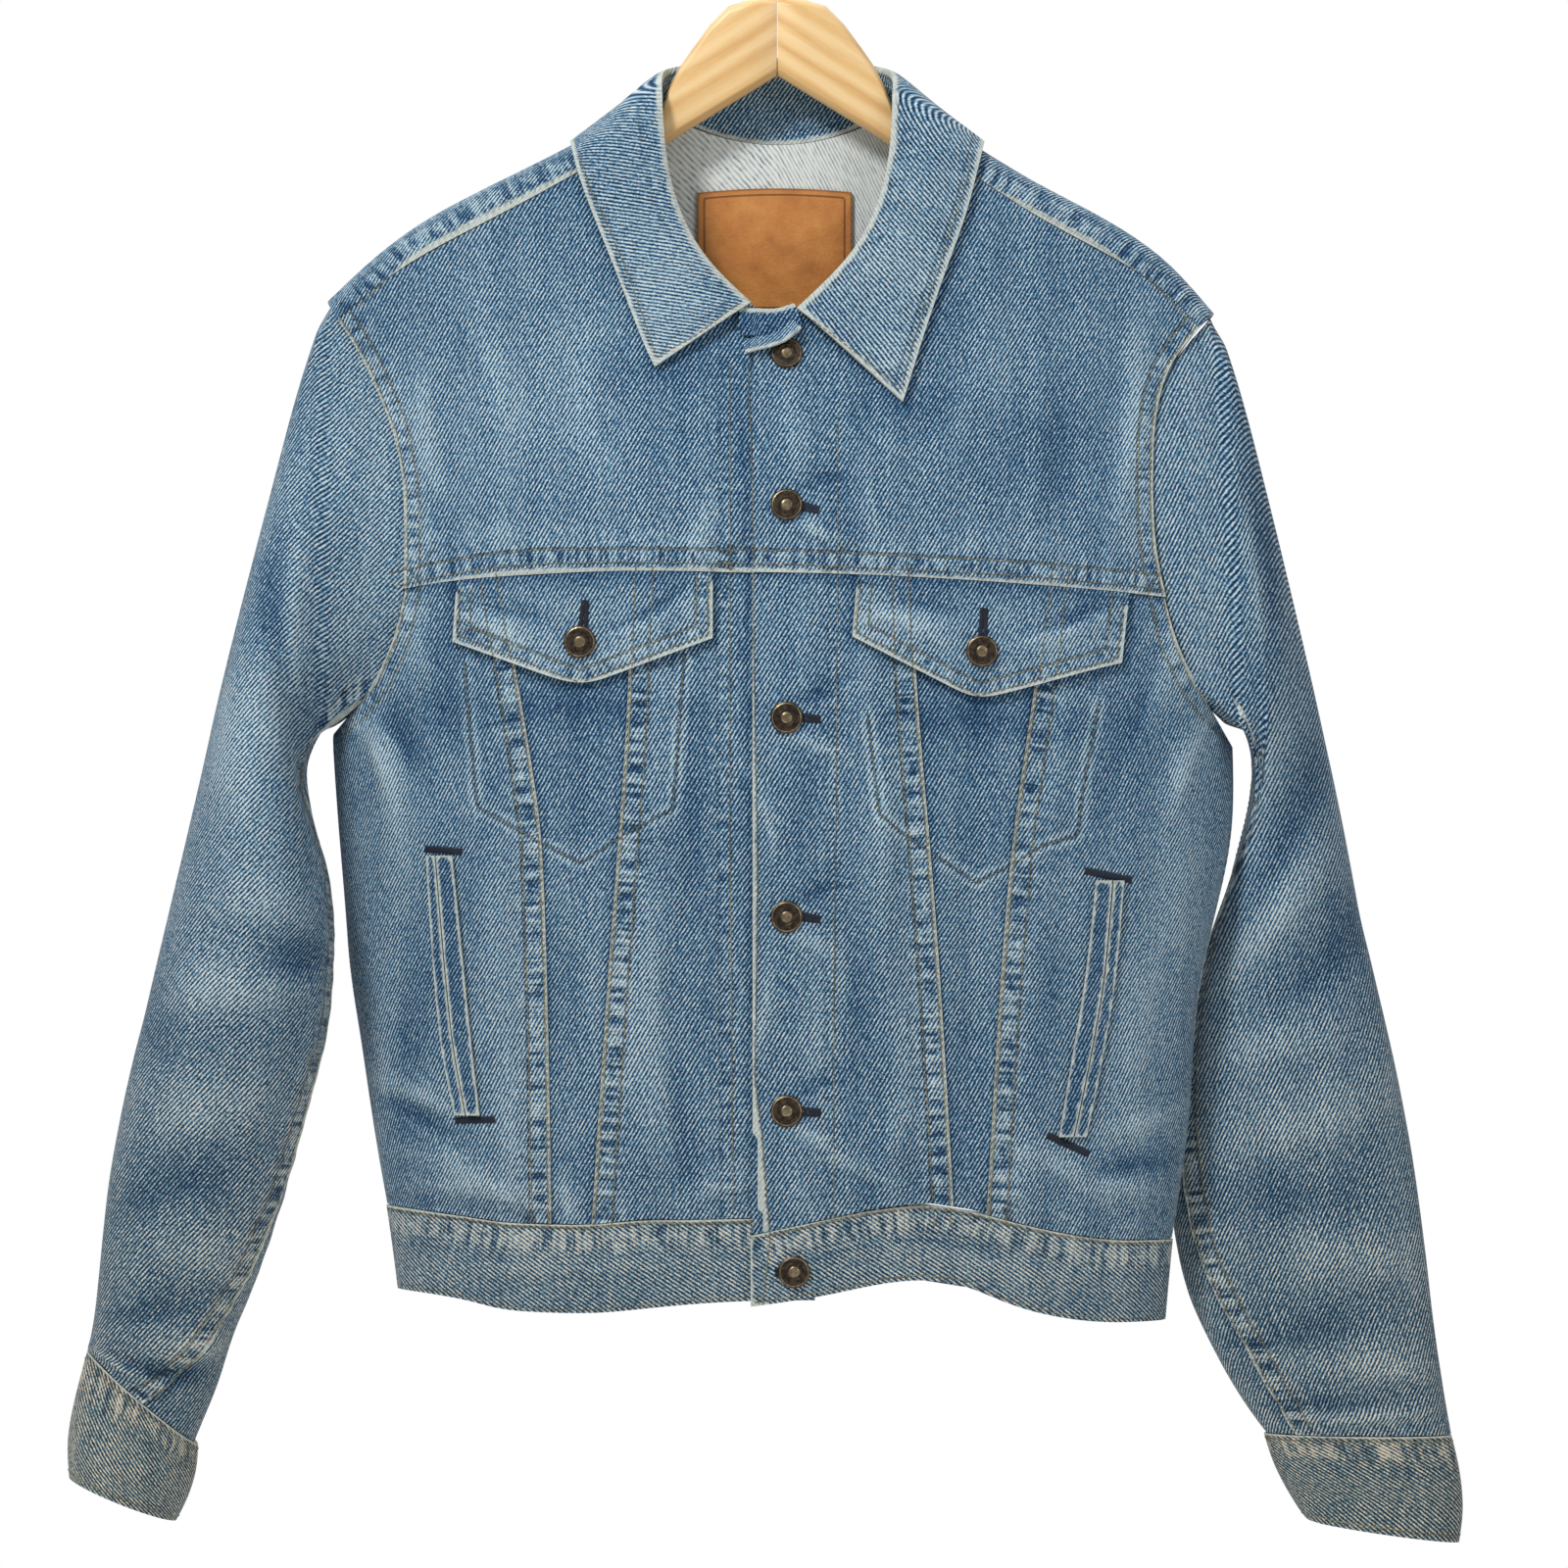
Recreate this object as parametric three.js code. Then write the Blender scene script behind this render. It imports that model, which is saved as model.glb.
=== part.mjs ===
// A denim trucker-style jacket hanging on a flat wooden hanger, in millimetres.
// +X is the wearer's left, +Y the back, +Z up. The origin is where the rail touches the inside of the hook.
// The cloth is built as thin walls: every panel is a patch of one hollow body form or of a sleeve form.
import * as THREE from "three";

// Driving dimensions of the cloth and its seams.
const cloth = {
  ply: 1.4,
  facedEdge: 2.2,
  band: 2.4,
  seamGap: 0.35,
  feltSeamWidth: 12,
  feltSeamRaise: 1.0,
  armholeSeamWidth: 10,
  stepWidth: 1.2,
};

// How the wearer's left front lies over the right one.
const closure = {
  leftEdge: -13,
  rightEdge: 20,
  facingWidth: 43,
  lift: 4.0,
  liftUntil: 22,
  liftFade: 45,
  buttonLine: 5,
};

// The body form: a flattened hollow tube that rolls over the hanger at the shoulders.
const form = {
  squareness: 2.4,
  shoulderRoll: 16,
  shoulderDepth: 15,
  fillOut: 240,
  armSlopeStart: -300,
  underarm: -455,
  sideShift: 8,
  halfGap: 0.2,
};

const blue = new THREE.Color(0.2, 0.33, 0.49);
const paleBlue = new THREE.Color(0.33, 0.45, 0.58);
const fabrics = {
  denim: { color: blue, roughness: 0.92, metalness: 0 },
  wornDenim: { color: paleBlue, roughness: 0.92, metalness: 0 },
  beech: { color: new THREE.Color(0.78, 0.56, 0.3), roughness: 0.45, metalness: 0 },
  steel: { color: new THREE.Color(0.72, 0.72, 0.72), roughness: 0.25, metalness: 1 },
  bronze: { color: new THREE.Color(0.23, 0.17, 0.12), roughness: 0.42, metalness: 0.9 },
  leather: { color: new THREE.Color(0.6, 0.32, 0.13), roughness: 0.62, metalness: 0 },
};

const jacket = new THREE.Group();
const gap = cloth.seamGap;

const mix = (a, b, t) => a + (b - a) * t;
const clamp = (v, low, high) => Math.min(high, Math.max(low, v));
const smooth = (t) => {
  const c = clamp(t, 0, 1);
  return c * c * (3 - 2 * c);
};

// A smooth curve through a short table: column 0 is the place, the named column is the value.
function curve(rows, column = 1) {
  const at = rows.map((row) => row[0]);
  const value = rows.map((row) => row[column]);
  const rising = at[at.length - 1] > at[0];
  const order = rising ? at.map((_, i) => i) : at.map((_, i) => at.length - 1 - i);
  const x = order.map((i) => at[i]);
  const y = order.map((i) => value[i]);
  const slope = x.map((_, i) => {
    if (i === 0 || i === x.length - 1) return 0;
    const before = (y[i] - y[i - 1]) / (x[i] - x[i - 1]);
    const after = (y[i + 1] - y[i]) / (x[i + 1] - x[i]);
    return before * after <= 0 ? 0 : (2 * before * after) / (before + after);
  });
  slope[0] = (y[1] - y[0]) / (x[1] - x[0]);
  slope[x.length - 1] = (y[x.length - 1] - y[x.length - 2]) / (x[x.length - 1] - x[x.length - 2]);
  return (place) => {
    const p = clamp(place, x[0], x[x.length - 1]);
    let i = 0;
    while (i < x.length - 2 && p > x[i + 1]) i += 1;
    const h = x[i + 1] - x[i];
    const t = (p - x[i]) / h;
    const a = t * t * (3 - 2 * t);
    const b = t * (1 - t) * (1 - t);
    const c = -t * t * (1 - t);
    return mix(y[i], y[i + 1], a) + h * (b * slope[i] + c * slope[i + 1]);
  };
}

// Body form tables.
// Columns: height, wearer's right side, wearer's left side, front depth, back depth.
const bodySections = [
  [-110, -248, 248, 24, 20],
  [-230, -248, 248, 30, 26],
  [-300, -248, 248, 42, 36],
  [-380, -245, 248, 49, 43],
  [-455, -239, 243, 52, 46],
  [-500, -236, 244, 51, 45],
  [-560, -231, 233, 49, 44],
  [-590, -229, 225, 48, 43],
  [-611, -225, 223, 47, 43],
  [-652, -219, 221, 46, 42],
  [-684, -214, 218, 47, 42],
  [-718, -208, 212, 42, 38],
  [-780, -200, 206, 39, 35],
];
const rightSide = curve(bodySections, 1);
const leftSide = curve(bodySections, 2);
const frontDepth = curve(bodySections, 3);
const backDepth = curve(bodySections, 4);

// Columns: distance across, height of the shoulder ridge.
const ridge = curve([
  [-252, -240],
  [-243, -230],
  [-240, -227],
  [-227, -215],
  [-217, -204.5],
  [-190, -184.4],
  [-150, -163.6],
  [-106, -141.8],
  [-66, -121.5],
  [0, -118],
  [66, -121.5],
  [107, -145],
  [135, -162],
  [176, -183.5],
  [208, -204],
  [222, -222],
  [233, -234],
  [250, -245],
]);

// Columns: height, wearer's right armhole, wearer's left armhole, on the front.
const armholes = [
  [-220, -244, 240],
  [-228, -241, 237],
  [-235, -237, 232],
  [-250, -227, 219],
  [-265, -218.5, 208.5],
  [-280, -212, 203.5],
  [-300, -204, 200.5],
  [-330, -198.5, 199.7],
  [-360, -198, 201],
  [-385, -198.5, 206],
  [-410, -204, 211.5],
  [-431, -214, 221],
  [-445, -226, 232],
  [-455, -239, 243],
];
const armholeRight = curve(armholes, 1);
const armholeLeft = curve(armholes, 2);
const shoulderTip = { right: -240.5, left: 234.5 };
const backArmholeOut = 5;

// Columns: height, distance of the front neckline from the middle.
const neckline = curve([
  [-118, 67],
  [-135, 67],
  [-160, 65],
  [-185, 58],
  [-205, 46],
  [-222, 30],
  [-236, 12],
]);
const neckEdge = { side: 67, sideHeight: -121.6, backDrop: 144, backRise: 0.0049, frontHeight: -236 };
const backNeckline = (x) => -neckEdge.backDrop + neckEdge.backRise * x * x;

// Columns: distance across, height of the yoke's lower edge, on the front.
const yokeSeam = curve([
  [-205, -383.5],
  [-171, -378],
  [-121, -374.7],
  [-74, -373],
  [-30, -374],
  [35, -375],
  [82, -377],
  [134, -380.4],
  [175, -383.6],
  [212, -387.5],
]);
const backYokeSeam = (x) => -304 - 0.00018 * x * x;

// Drop of the shoulder seam below the ridge, on the front. Columns: distance from the middle, drop.
const shoulderSeamDrop = curve([
  [60, 17],
  [105, 18],
  [160, 20],
  [205, 19],
  [232, 16.5],
  [250, 16.5],
]);

// Lengthwise seams. Columns: height, then the distance across of each seam.
const vSeams = [
  [-370, -148, -76.5, 71, 144],
  [-427, -138, -78.5, 73.4, 137],
  [-468, -131, -80.5, 76.4, 131],
  [-515, -124.5, -84, 80.6, 124.5],
  [-600, -121.5, -90.5, 87, 117.5],
  [-720, -119.5, -98.5, 94, 110.5],
];
const [seamA, seamB, seamC, seamD] = [1, 2, 3, 4].map((column) => curve(vSeams, column));
const backSeam = curve([
  [-290, 102],
  [-450, 88],
  [-600, 72],
  [-730, 60],
]);

// The waistband. Columns: distance across, height of its top, height of its bottom.
const bandRight = [
  [-225, -710, -755],
  [-203, -712, -756],
  [-168, -716, -760],
  [-142, -719.5, -766],
  [-100, -720, -767],
  [-69, -717, -764],
  [-38, -717.4, -761],
  [-9, -716, -759.5],
  [30, -716, -759.5],
];
const bandLeft = [
  [-20, -725.5, -763],
  [-7, -724, -762],
  [36, -714, -755],
  [56, -710.6, -750],
  [76, -708.5, -748],
  [97, -711, -750.5],
  [118, -716.5, -760],
  [149, -724, -769],
  [180, -728.5, -772],
  [225, -729, -771],
];
const bandTopRight = curve(bandRight, 1);
const bandEndRight = curve(bandRight, 2);
const bandTopLeft = curve(bandLeft, 1);
const bandEndLeft = curve(bandLeft, 2);
const sideBand = { right: [-711.5, -756], left: [-729, -771], back: [-706, -747], backReach: 225 };

function backBand(x, column) {
  const side = x < 0 ? sideBand.right : sideBand.left;
  return mix(sideBand.back[column], side[column], smooth(Math.abs(x) / sideBand.backReach));
}

// Soft folds of the body. Columns: face (-1 front, 1 back), middle across, middle height,
// direction across, direction down, half length, half width, height of the fold.
const bodyFolds = [
  [-1, -184, -338, 0.12, -1, 52, 9, 5.5],
  [-1, -166, -322, 0.16, -1, 60, 10, -4],
  [-1, -140, -300, 0.1, -1, 70, 15, 3],
  [-1, 184, -322, -0.16, -1, 50, 8, 6],
  [-1, 168, -312, -0.22, -1, 62, 9, -4.5],
  [-1, 146, -318, -0.12, -1, 60, 12, 3],
  [-1, -204, -452, 0.5, -1, 40, 12, -4],
  [-1, 214, -468, -0.2, -1, 46, 11, 4],
  [-1, -175, -704, 0.9, -0.26, 36, 7, -4],
  [-1, -160, -690, 0.92, -0.2, 45, 8, 3],
  [-1, -40, -700, 0.2, -1, 26, 8, -3],
  [-1, 60, -694, 0.35, -1, 30, 9, 3.5],
  [-1, 176, -716, 0.95, -0.2, 32, 7, -4],
  [-1, 172, -700, 0.97, -0.12, 44, 8, 3],
  [-1, -60, -560, 0.04, -1, 110, 13, 3],
  [-1, 52, -560, -0.03, -1, 120, 12, 3],
  [-1, 112, -560, -0.08, -1, 100, 14, -2.5],
  [1, -176, -345, 0.15, -1, 70, 11, 5],
  [1, -154, -335, 0.2, -1, 70, 11, -4],
  [1, 170, -350, -0.15, -1, 66, 10, 5],
  [1, 148, -338, -0.2, -1, 70, 12, -4],
  [1, -40, -230, 0.9, -0.3, 60, 12, 3],
  [1, 30, -540, 0.05, -1, 130, 14, 4],
  [1, -96, -560, 0.06, -1, 110, 13, -3],
  [1, 120, -560, -0.06, -1, 120, 15, 3.5],
  [1, -120, -682, 0.95, -0.1, 60, 9, -4.5],
  [1, 70, -684, 0.97, 0.1, 60, 9, -4.5],
  [1, -20, -660, 1, 0.05, 70, 11, 4],
];

function foldHeight(face, x, z) {
  let height = 0;
  for (const [side, midX, midZ, alongX, alongZ, halfLength, halfWidth, rise] of bodyFolds) {
    if (side !== face) continue;
    const length = Math.hypot(alongX, alongZ);
    const along = ((x - midX) * alongX + (z - midZ) * alongZ) / length / halfLength;
    const across = ((x - midX) * alongZ - (z - midZ) * alongX) / length / halfWidth;
    const reach = along * along + across * across;
    if (reach < 9) height += rise * Math.exp(-reach);
  }
  return height;
}

// Share of the half width at (x, z): 0 at the middle, 1 at the side seam.
function shareAt(x, z) {
  const low = rightSide(z);
  const high = leftSide(z);
  return (x - (low + high) / 2) / ((high - low) / 2);
}

function acrossAt(share, z) {
  const low = rightSide(z);
  const high = leftSide(z);
  return (low + high) / 2 + (share * (high - low)) / 2;
}

// An even step round the section, from -1 at one side seam to 1 at the other.
function stepAt(x, z) {
  const share = clamp(shareAt(x, z), -1, 1);
  return (Math.sign(share) * Math.asin(Math.pow(Math.abs(share), form.squareness / 2))) / (Math.PI / 2);
}

function acrossAtStep(step, z) {
  const share = Math.pow(Math.abs(Math.sin((clamp(step, -1, 1) * Math.PI) / 2)), 2 / form.squareness);
  return acrossAt(Math.sign(step) * share, z);
}

// Depth of the cloth from its middle plane.
function depthAt(face, x, z) {
  const share = Math.min(1, Math.abs(shareAt(x, z)));
  const round = Math.pow(1 - Math.pow(share, form.squareness), 1 / form.squareness);
  const below = Math.max(0, ridge(x) - z);
  const rolled = 1 - Math.min(1, below / form.shoulderRoll);
  const roll = Math.sqrt(1 - rolled * rolled);
  const armTurn = smooth((form.armSlopeStart - z) / (form.armSlopeStart - form.underarm));
  const near = form.shoulderDepth * mix(1, round, armTurn);
  const full = face < 0 ? frontDepth(z) : backDepth(z);
  const far = (full - form.shoulderDepth) * smooth(below / form.fillOut) * round;
  const settle = Math.min(1, below / 60) * Math.min(1, round * 2.5);
  return form.halfGap + roll * (near + far) + foldHeight(face, x, z) * settle;
}

function middleAt(x, z) {
  const share = clamp(shareAt(x, z), -1, 1);
  const armTurn = smooth((form.armSlopeStart - z) / (form.armSlopeStart - form.underarm));
  return -form.sideShift * share * Math.abs(share) * armTurn;
}

function bodyPoint(face, x, z) {
  return new THREE.Vector3(x, middleAt(x, z) + face * depthAt(face, x, z), z);
}

// Outward direction of the cloth, steadied at the side seams and at the ridge.
function bodyNormal(face, x, z) {
  const share = shareAt(x, z);
  const step = 0.4;
  const limit = 0.9993;
  const flatX = Math.abs(share) > limit && z < form.underarm + 12 ? acrossAt(Math.sign(share) * limit, z) : x;
  const flatZ = Math.min(z, ridge(x) - 0.45);
  const reach = Math.abs(shareAt(flatX, flatZ)) > 0.98 ? 0.05 : step;
  const slope = (a, b, c, d) => (face * (bodyPoint(face, a, b).y - bodyPoint(face, c, d).y));
  const alongX = slope(flatX + reach, flatZ, flatX - reach, flatZ) / (2 * reach);
  const alongZ = slope(flatX, flatZ + step, flatX, flatZ - step) / (2 * step);
  const normal = new THREE.Vector3(-alongX, face, -alongZ).normalize();
  if (Math.abs(share) > 0.9985 && z < form.underarm + 12) normal.y = 0;
  return normal.normalize();
}

function addMesh(name, geometry, fabric) {
  const mesh = new THREE.Mesh(geometry, new THREE.MeshStandardMaterial(fabrics[fabric]));
  mesh.name = name;
  jacket.add(mesh);
}

function signedVolume(points, faces) {
  let volume = 0;
  for (const [a, b, c] of faces) volume += points[a].dot(points[b].clone().cross(points[c])) / 6;
  return volume;
}

function solidFrom(points, faces) {
  const turned = signedVolume(points, faces) < 0 ? faces.map(([a, b, c]) => [a, c, b]) : faces;
  const geometry = new THREE.BufferGeometry();
  geometry.setAttribute(
    "position",
    new THREE.Float32BufferAttribute(points.flatMap((p) => [p.x, p.y, p.z]), 3),
  );
  geometry.setIndex(turned.flat());
  return geometry;
}

// A wall of cloth from a grid of { outer, inner } points. With closed true its columns join up as a tube.
function wallFrom(grid, closed = false) {
  const rows = grid.length;
  const columns = grid[0].length;
  const points = [...grid.flat().map((g) => g.outer), ...grid.flat().map((g) => g.inner)];
  const inner = rows * columns;
  const faces = [];
  const quad = (a, b, c, d) => faces.push([a, b, c], [a, c, d]);
  const at = (row, column) => row * columns + (column % columns);
  const last = closed ? columns : columns - 1;
  for (let r = 0; r < rows - 1; r += 1) {
    for (let c = 0; c < last; c += 1) {
      quad(at(r, c), at(r + 1, c), at(r + 1, c + 1), at(r, c + 1));
      quad(inner + at(r, c), inner + at(r, c + 1), inner + at(r + 1, c + 1), inner + at(r + 1, c));
    }
  }
  for (let c = 0; c < last; c += 1) {
    quad(at(0, c), at(0, c + 1), inner + at(0, c + 1), inner + at(0, c));
    quad(at(rows - 1, c), inner + at(rows - 1, c), inner + at(rows - 1, c + 1), at(rows - 1, c + 1));
  }
  if (!closed) {
    for (let r = 0; r < rows - 1; r += 1) {
      quad(at(r, 0), inner + at(r, 0), inner + at(r + 1, 0), at(r + 1, 0));
      quad(at(r, columns - 1), at(r + 1, columns - 1), inner + at(r + 1, columns - 1), inner + at(r, columns - 1));
    }
  }
  return solidFrom(points, faces);
}

// Places from 0 to 1 along a panel, with a fine step where a raised seam of the given width ends.
function stationsAlong(length, count, startSeam, endSeam) {
  const first = startSeam ? (startSeam + cloth.stepWidth) / length : 0;
  const last = endSeam ? 1 - (endSeam + cloth.stepWidth) / length : 1;
  const middle = Array.from({ length: count + 1 }, (_, i) => mix(first, last, i / count));
  return [
    ...(startSeam ? [0, startSeam / length] : []),
    ...middle,
    ...(endSeam ? [1 - endSeam / length, 1] : []),
  ];
}

const onSeam = (index, total, startSeam, endSeam) =>
  (startSeam && index < 2) || (endSeam && index > total - 3);

function liftOfLeft(x) {
  return closure.lift * (1 - smooth((x - closure.liftUntil) / closure.liftFade));
}

// A panel of the body between four edges: left and right are functions of height, top and bottom of distance across.
function bodyPanel(name, fabric, face, edges, grid, options = {}) {
  const { startSeam = 0, endSeam = 0, topSeam = 0, bottomSeam = 0 } = options;
  const lift = options.lift ?? (() => 0);
  const ply = options.ply ?? (() => cloth.ply);
  const raise = options.raise ?? 0;
  const midX = (edges.left(edges.midZ) + edges.right(edges.midZ)) / 2;
  const tall = Math.abs(edges.top(midX) - edges.bottom(midX));
  const downs = stationsAlong(tall, grid.rows, topSeam, bottomSeam);
  const cells = downs.map((down, row) => {
    const roughZ = mix(edges.top(midX), edges.bottom(midX), down);
    const wide = Math.abs(edges.right(roughZ) - edges.left(roughZ));
    const overs = stationsAlong(Math.max(wide, 30), grid.columns, startSeam, endSeam);
    return overs.map((over, column) => {
      let x = mix(edges.left(roughZ), edges.right(roughZ), over);
      let z = roughZ;
      for (let pass = 0; pass < 16; pass += 1) {
        z = mix(edges.top(x), edges.bottom(x), down);
        x = mix(x, acrossAtStep(mix(stepAt(edges.left(z), z), stepAt(edges.right(z), z), over), z), 0.6);
      }
      const point = bodyPoint(face, x, z);
      const normal = bodyNormal(face, x, z);
      const seam =
        onSeam(column, overs.length, startSeam, endSeam) || onSeam(row, downs.length, topSeam, bottomSeam);
      const out = lift(x) + raise + (seam ? cloth.feltSeamRaise : 0);
      return {
        outer: point.clone().addScaledVector(normal, out),
        inner: point.clone().addScaledVector(normal, lift(x) + raise - ply(x)),
      };
    });
  });
  addMesh(name, wallFrom(cells), fabric);
}

function backArmhole(side, z) {
  const front = side < 0 ? armholeRight(z) : armholeLeft(z);
  const low = form.underarm;
  const share = clamp((z - low) / (-240 - low), 0, 1);
  return front + side * backArmholeOut * Math.sin(Math.PI * share);
}

// The back yoke runs from the front shoulder seams, over the hanger, to the seam across the back.
// Its rows follow the distance walked over the ridge, and its columns run from armhole to armhole.
const quarterWalk = ((form.shoulderRoll + form.shoulderDepth) / 2) * (Math.PI / 2);
function walkOverRidge(x, walk) {
  const turn = (Math.abs(walk) / quarterWalk) * (Math.PI / 2);
  const below =
    Math.abs(walk) < quarterWalk
      ? form.shoulderRoll * (1 - Math.cos(turn))
      : form.shoulderRoll + Math.abs(walk) - quarterWalk;
  return { face: walk < 0 ? -1 : 1, z: ridge(x) - below };
}
const walkTo = (below) =>
  below < form.shoulderRoll
    ? (Math.acos(1 - below / form.shoulderRoll) / (Math.PI / 2)) * quarterWalk
    : quarterWalk + below - form.shoulderRoll;

// Shares of the walk at which the rows lie: close together over the ridge.
const yokeRows = [0, 0.045, 0.082, 0.12, 0.157, 0.195, 0.245, 0.33, 0.45, 0.57, 0.69, 0.81];
const yokeHalfColumns = 12;
const neckPlaces = [0, 26, 47, 61, neckEdge.side];
const neckColumns = neckPlaces.length - 1;

function backYokeCell(down, side, share) {
  let x = side * share * 200;
  let place = null;
  for (let pass = 0; pass < 16; pass += 1) {
    const endWalk = walkTo(ridge(x) - backYokeSeam(x));
    const neckWalk = walkTo(Math.max(0, ridge(x) - backNeckline(x)));
    const atNeck = share * yokeHalfColumns < neckColumns + 0.5;
    const startWalk = atNeck
      ? neckWalk
      : -walkTo(shoulderSeamDrop(Math.abs(x)));
    const whole = endWalk - startWalk;
    place = walkOverRidge(x, startWalk + whole * down(whole));
    x = mix(x, side * spreadAcross(share, Math.abs(armholeAtRow(side, place.face, place.z, x))), 0.6);
  }
  return { face: place.face, x, z: place.z };
}

const yokeDowns = [
  ...yokeRows.map((share) => () => share),
  (whole) => 1 - (cloth.feltSeamWidth + cloth.stepWidth) / whole,
  (whole) => 1 - cloth.feltSeamWidth / whole,
  () => 1,
];
const yokeCells = yokeDowns.map((down) =>
  Array.from({ length: yokeHalfColumns * 2 + 1 }, (_, i) => {
    const column = i - yokeHalfColumns;
    return backYokeCell(down, column < 0 ? -1 : 1, Math.abs(column) / yokeHalfColumns);
  }),
);

function buildBackYoke() {
  const seamFrom = yokeCells.length - 2;
  const cells = yokeCells.map((line, row) =>
    line.map(({ face, x, z }) => {
      const point = bodyPoint(face, x, z);
      const normal = bodyNormal(face, x, z);
      return {
        outer: point.clone().addScaledVector(normal, row >= seamFrom ? cloth.feltSeamRaise : 0),
        inner: point.clone().addScaledVector(normal, -cloth.ply),
      };
    }),
  );
  addMesh("back_yoke", wallFrom(cells), "denim");
}

// Columns of the back yoke: two lie close together at the side of the neck, where the neckline turns.
function spreadAcross(share, outer) {
  const column = share * yokeHalfColumns;
  const beside = neckEdge.side + 1.5;
  if (column < neckColumns + 0.5) return neckPlaces[Math.round(column)];
  return mix(beside, outer, (column - neckColumns - 1) / (yokeHalfColumns - neckColumns - 1));
}

function armholeAtRow(side, face, z, x) {
  const tip = side < 0 ? shoulderTip.right : shoulderTip.left;
  const high = ridge(tip);
  const edge = face < 0 ? (side < 0 ? armholeRight(z) : armholeLeft(z)) : backArmhole(side, z);
  const held = Math.abs(x) > 0 && z > high ? tip : edge;
  return held - side * gap;
}
buildBackYoke();

// Front yokes.
// Their top edge follows the front edge of the back yoke, point by point.
const seamLine = yokeCells[0].map(({ x, z }) => [x, z]);
function shoulderSeam(x) {
  let i = 0;
  while (i < seamLine.length - 2 && x > seamLine[i + 1][0]) i += 1;
  const [x0, z0] = seamLine[i];
  const [x1, z1] = seamLine[i + 1];
  return Math.abs(x) < neckEdge.side + 8 ? ridge(x) - shoulderSeamDrop(Math.abs(x)) : mix(z0, z1, (x - x0) / (x1 - x0));
}
const facedRight = (x) => (x > -30 ? cloth.facedEdge : cloth.ply);
const facedLeft = (x) => (x < closure.leftEdge + closure.facingWidth ? cloth.facedEdge : cloth.ply);

bodyPanel(
  "front_yoke_right",
  "denim",
  -1,
  {
    midZ: -330,
    left: (z) => armholeRight(z) + gap,
    right: (z) => (z > neckEdge.frontHeight ? -neckline(z) : mix(-12, closure.rightEdge, smooth((-236 - z) / 14))),
    top: (x) => shoulderSeam(x) - 2 * gap,
    bottom: (x) => yokeSeam(x),
  },
  { rows: 10, columns: 8 },
  { startSeam: cloth.armholeSeamWidth, bottomSeam: cloth.feltSeamWidth, ply: facedRight },
);
bodyPanel(
  "front_yoke_left",
  "denim",
  -1,
  {
    midZ: -330,
    left: (z) => (z > neckEdge.frontHeight ? neckline(z) : mix(12, closure.leftEdge, smooth((-236 - z) / 14))),
    right: (z) => armholeLeft(z) - gap,
    top: (x) => shoulderSeam(x) - 2 * gap,
    bottom: (x) => yokeSeam(x),
  },
  { rows: 10, columns: 8 },
  { endSeam: cloth.armholeSeamWidth, bottomSeam: cloth.feltSeamWidth, ply: facedLeft, lift: liftOfLeft },
);

// Lower front panels: side, tapered middle and centre on each side.
const belowYoke = (x) => yokeSeam(x) - gap;
bodyPanel(
  "front_side_right",
  "denim",
  -1,
  {
    midZ: -560,
    left: (z) => (z > form.underarm ? armholeRight(z) + 2 * gap : rightSide(z)),
    right: (z) => seamA(z) - gap / 2,
    top: belowYoke,
    bottom: (x) => bandTopRight(x) + 2 * gap,
  },
  { rows: 13, columns: 6 },
  { endSeam: cloth.feltSeamWidth },
);
bodyPanel(
  "front_taper_right",
  "denim",
  -1,
  {
    midZ: -560,
    left: (z) => seamA(z) + gap / 2,
    right: (z) => seamB(z) - gap / 2,
    top: belowYoke,
    bottom: (x) => bandTopRight(x) + 2 * gap,
  },
  { rows: 13, columns: 3 },
);
bodyPanel(
  "front_centre_right",
  "denim",
  -1,
  {
    midZ: -560,
    left: (z) => seamB(z) + gap / 2,
    right: () => closure.rightEdge,
    top: belowYoke,
    bottom: (x) => bandTopRight(x) + 2 * gap,
  },
  { rows: 13, columns: 6 },
  { startSeam: cloth.feltSeamWidth, ply: facedRight },
);
bodyPanel(
  "front_centre_left",
  "denim",
  -1,
  {
    midZ: -560,
    left: () => closure.leftEdge,
    right: (z) => seamC(z) - gap / 2,
    top: belowYoke,
    bottom: (x) => bandTopLeft(x) + 2 * gap,
  },
  { rows: 13, columns: 6 },
  { endSeam: cloth.feltSeamWidth, ply: facedLeft, lift: liftOfLeft },
);
bodyPanel(
  "front_taper_left",
  "denim",
  -1,
  {
    midZ: -560,
    left: (z) => seamC(z) + gap / 2,
    right: (z) => seamD(z) - gap / 2,
    top: belowYoke,
    bottom: (x) => bandTopLeft(x) + 2 * gap,
  },
  { rows: 13, columns: 3 },
);
bodyPanel(
  "front_side_left",
  "denim",
  -1,
  {
    midZ: -560,
    left: (z) => seamD(z) + gap / 2,
    right: (z) => (z > form.underarm ? armholeLeft(z) - 2.5 * gap : leftSide(z)),
    top: belowYoke,
    bottom: (x) => bandTopLeft(x) + 2 * gap,
  },
  { rows: 13, columns: 6 },
  { startSeam: cloth.feltSeamWidth },
);

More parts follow.
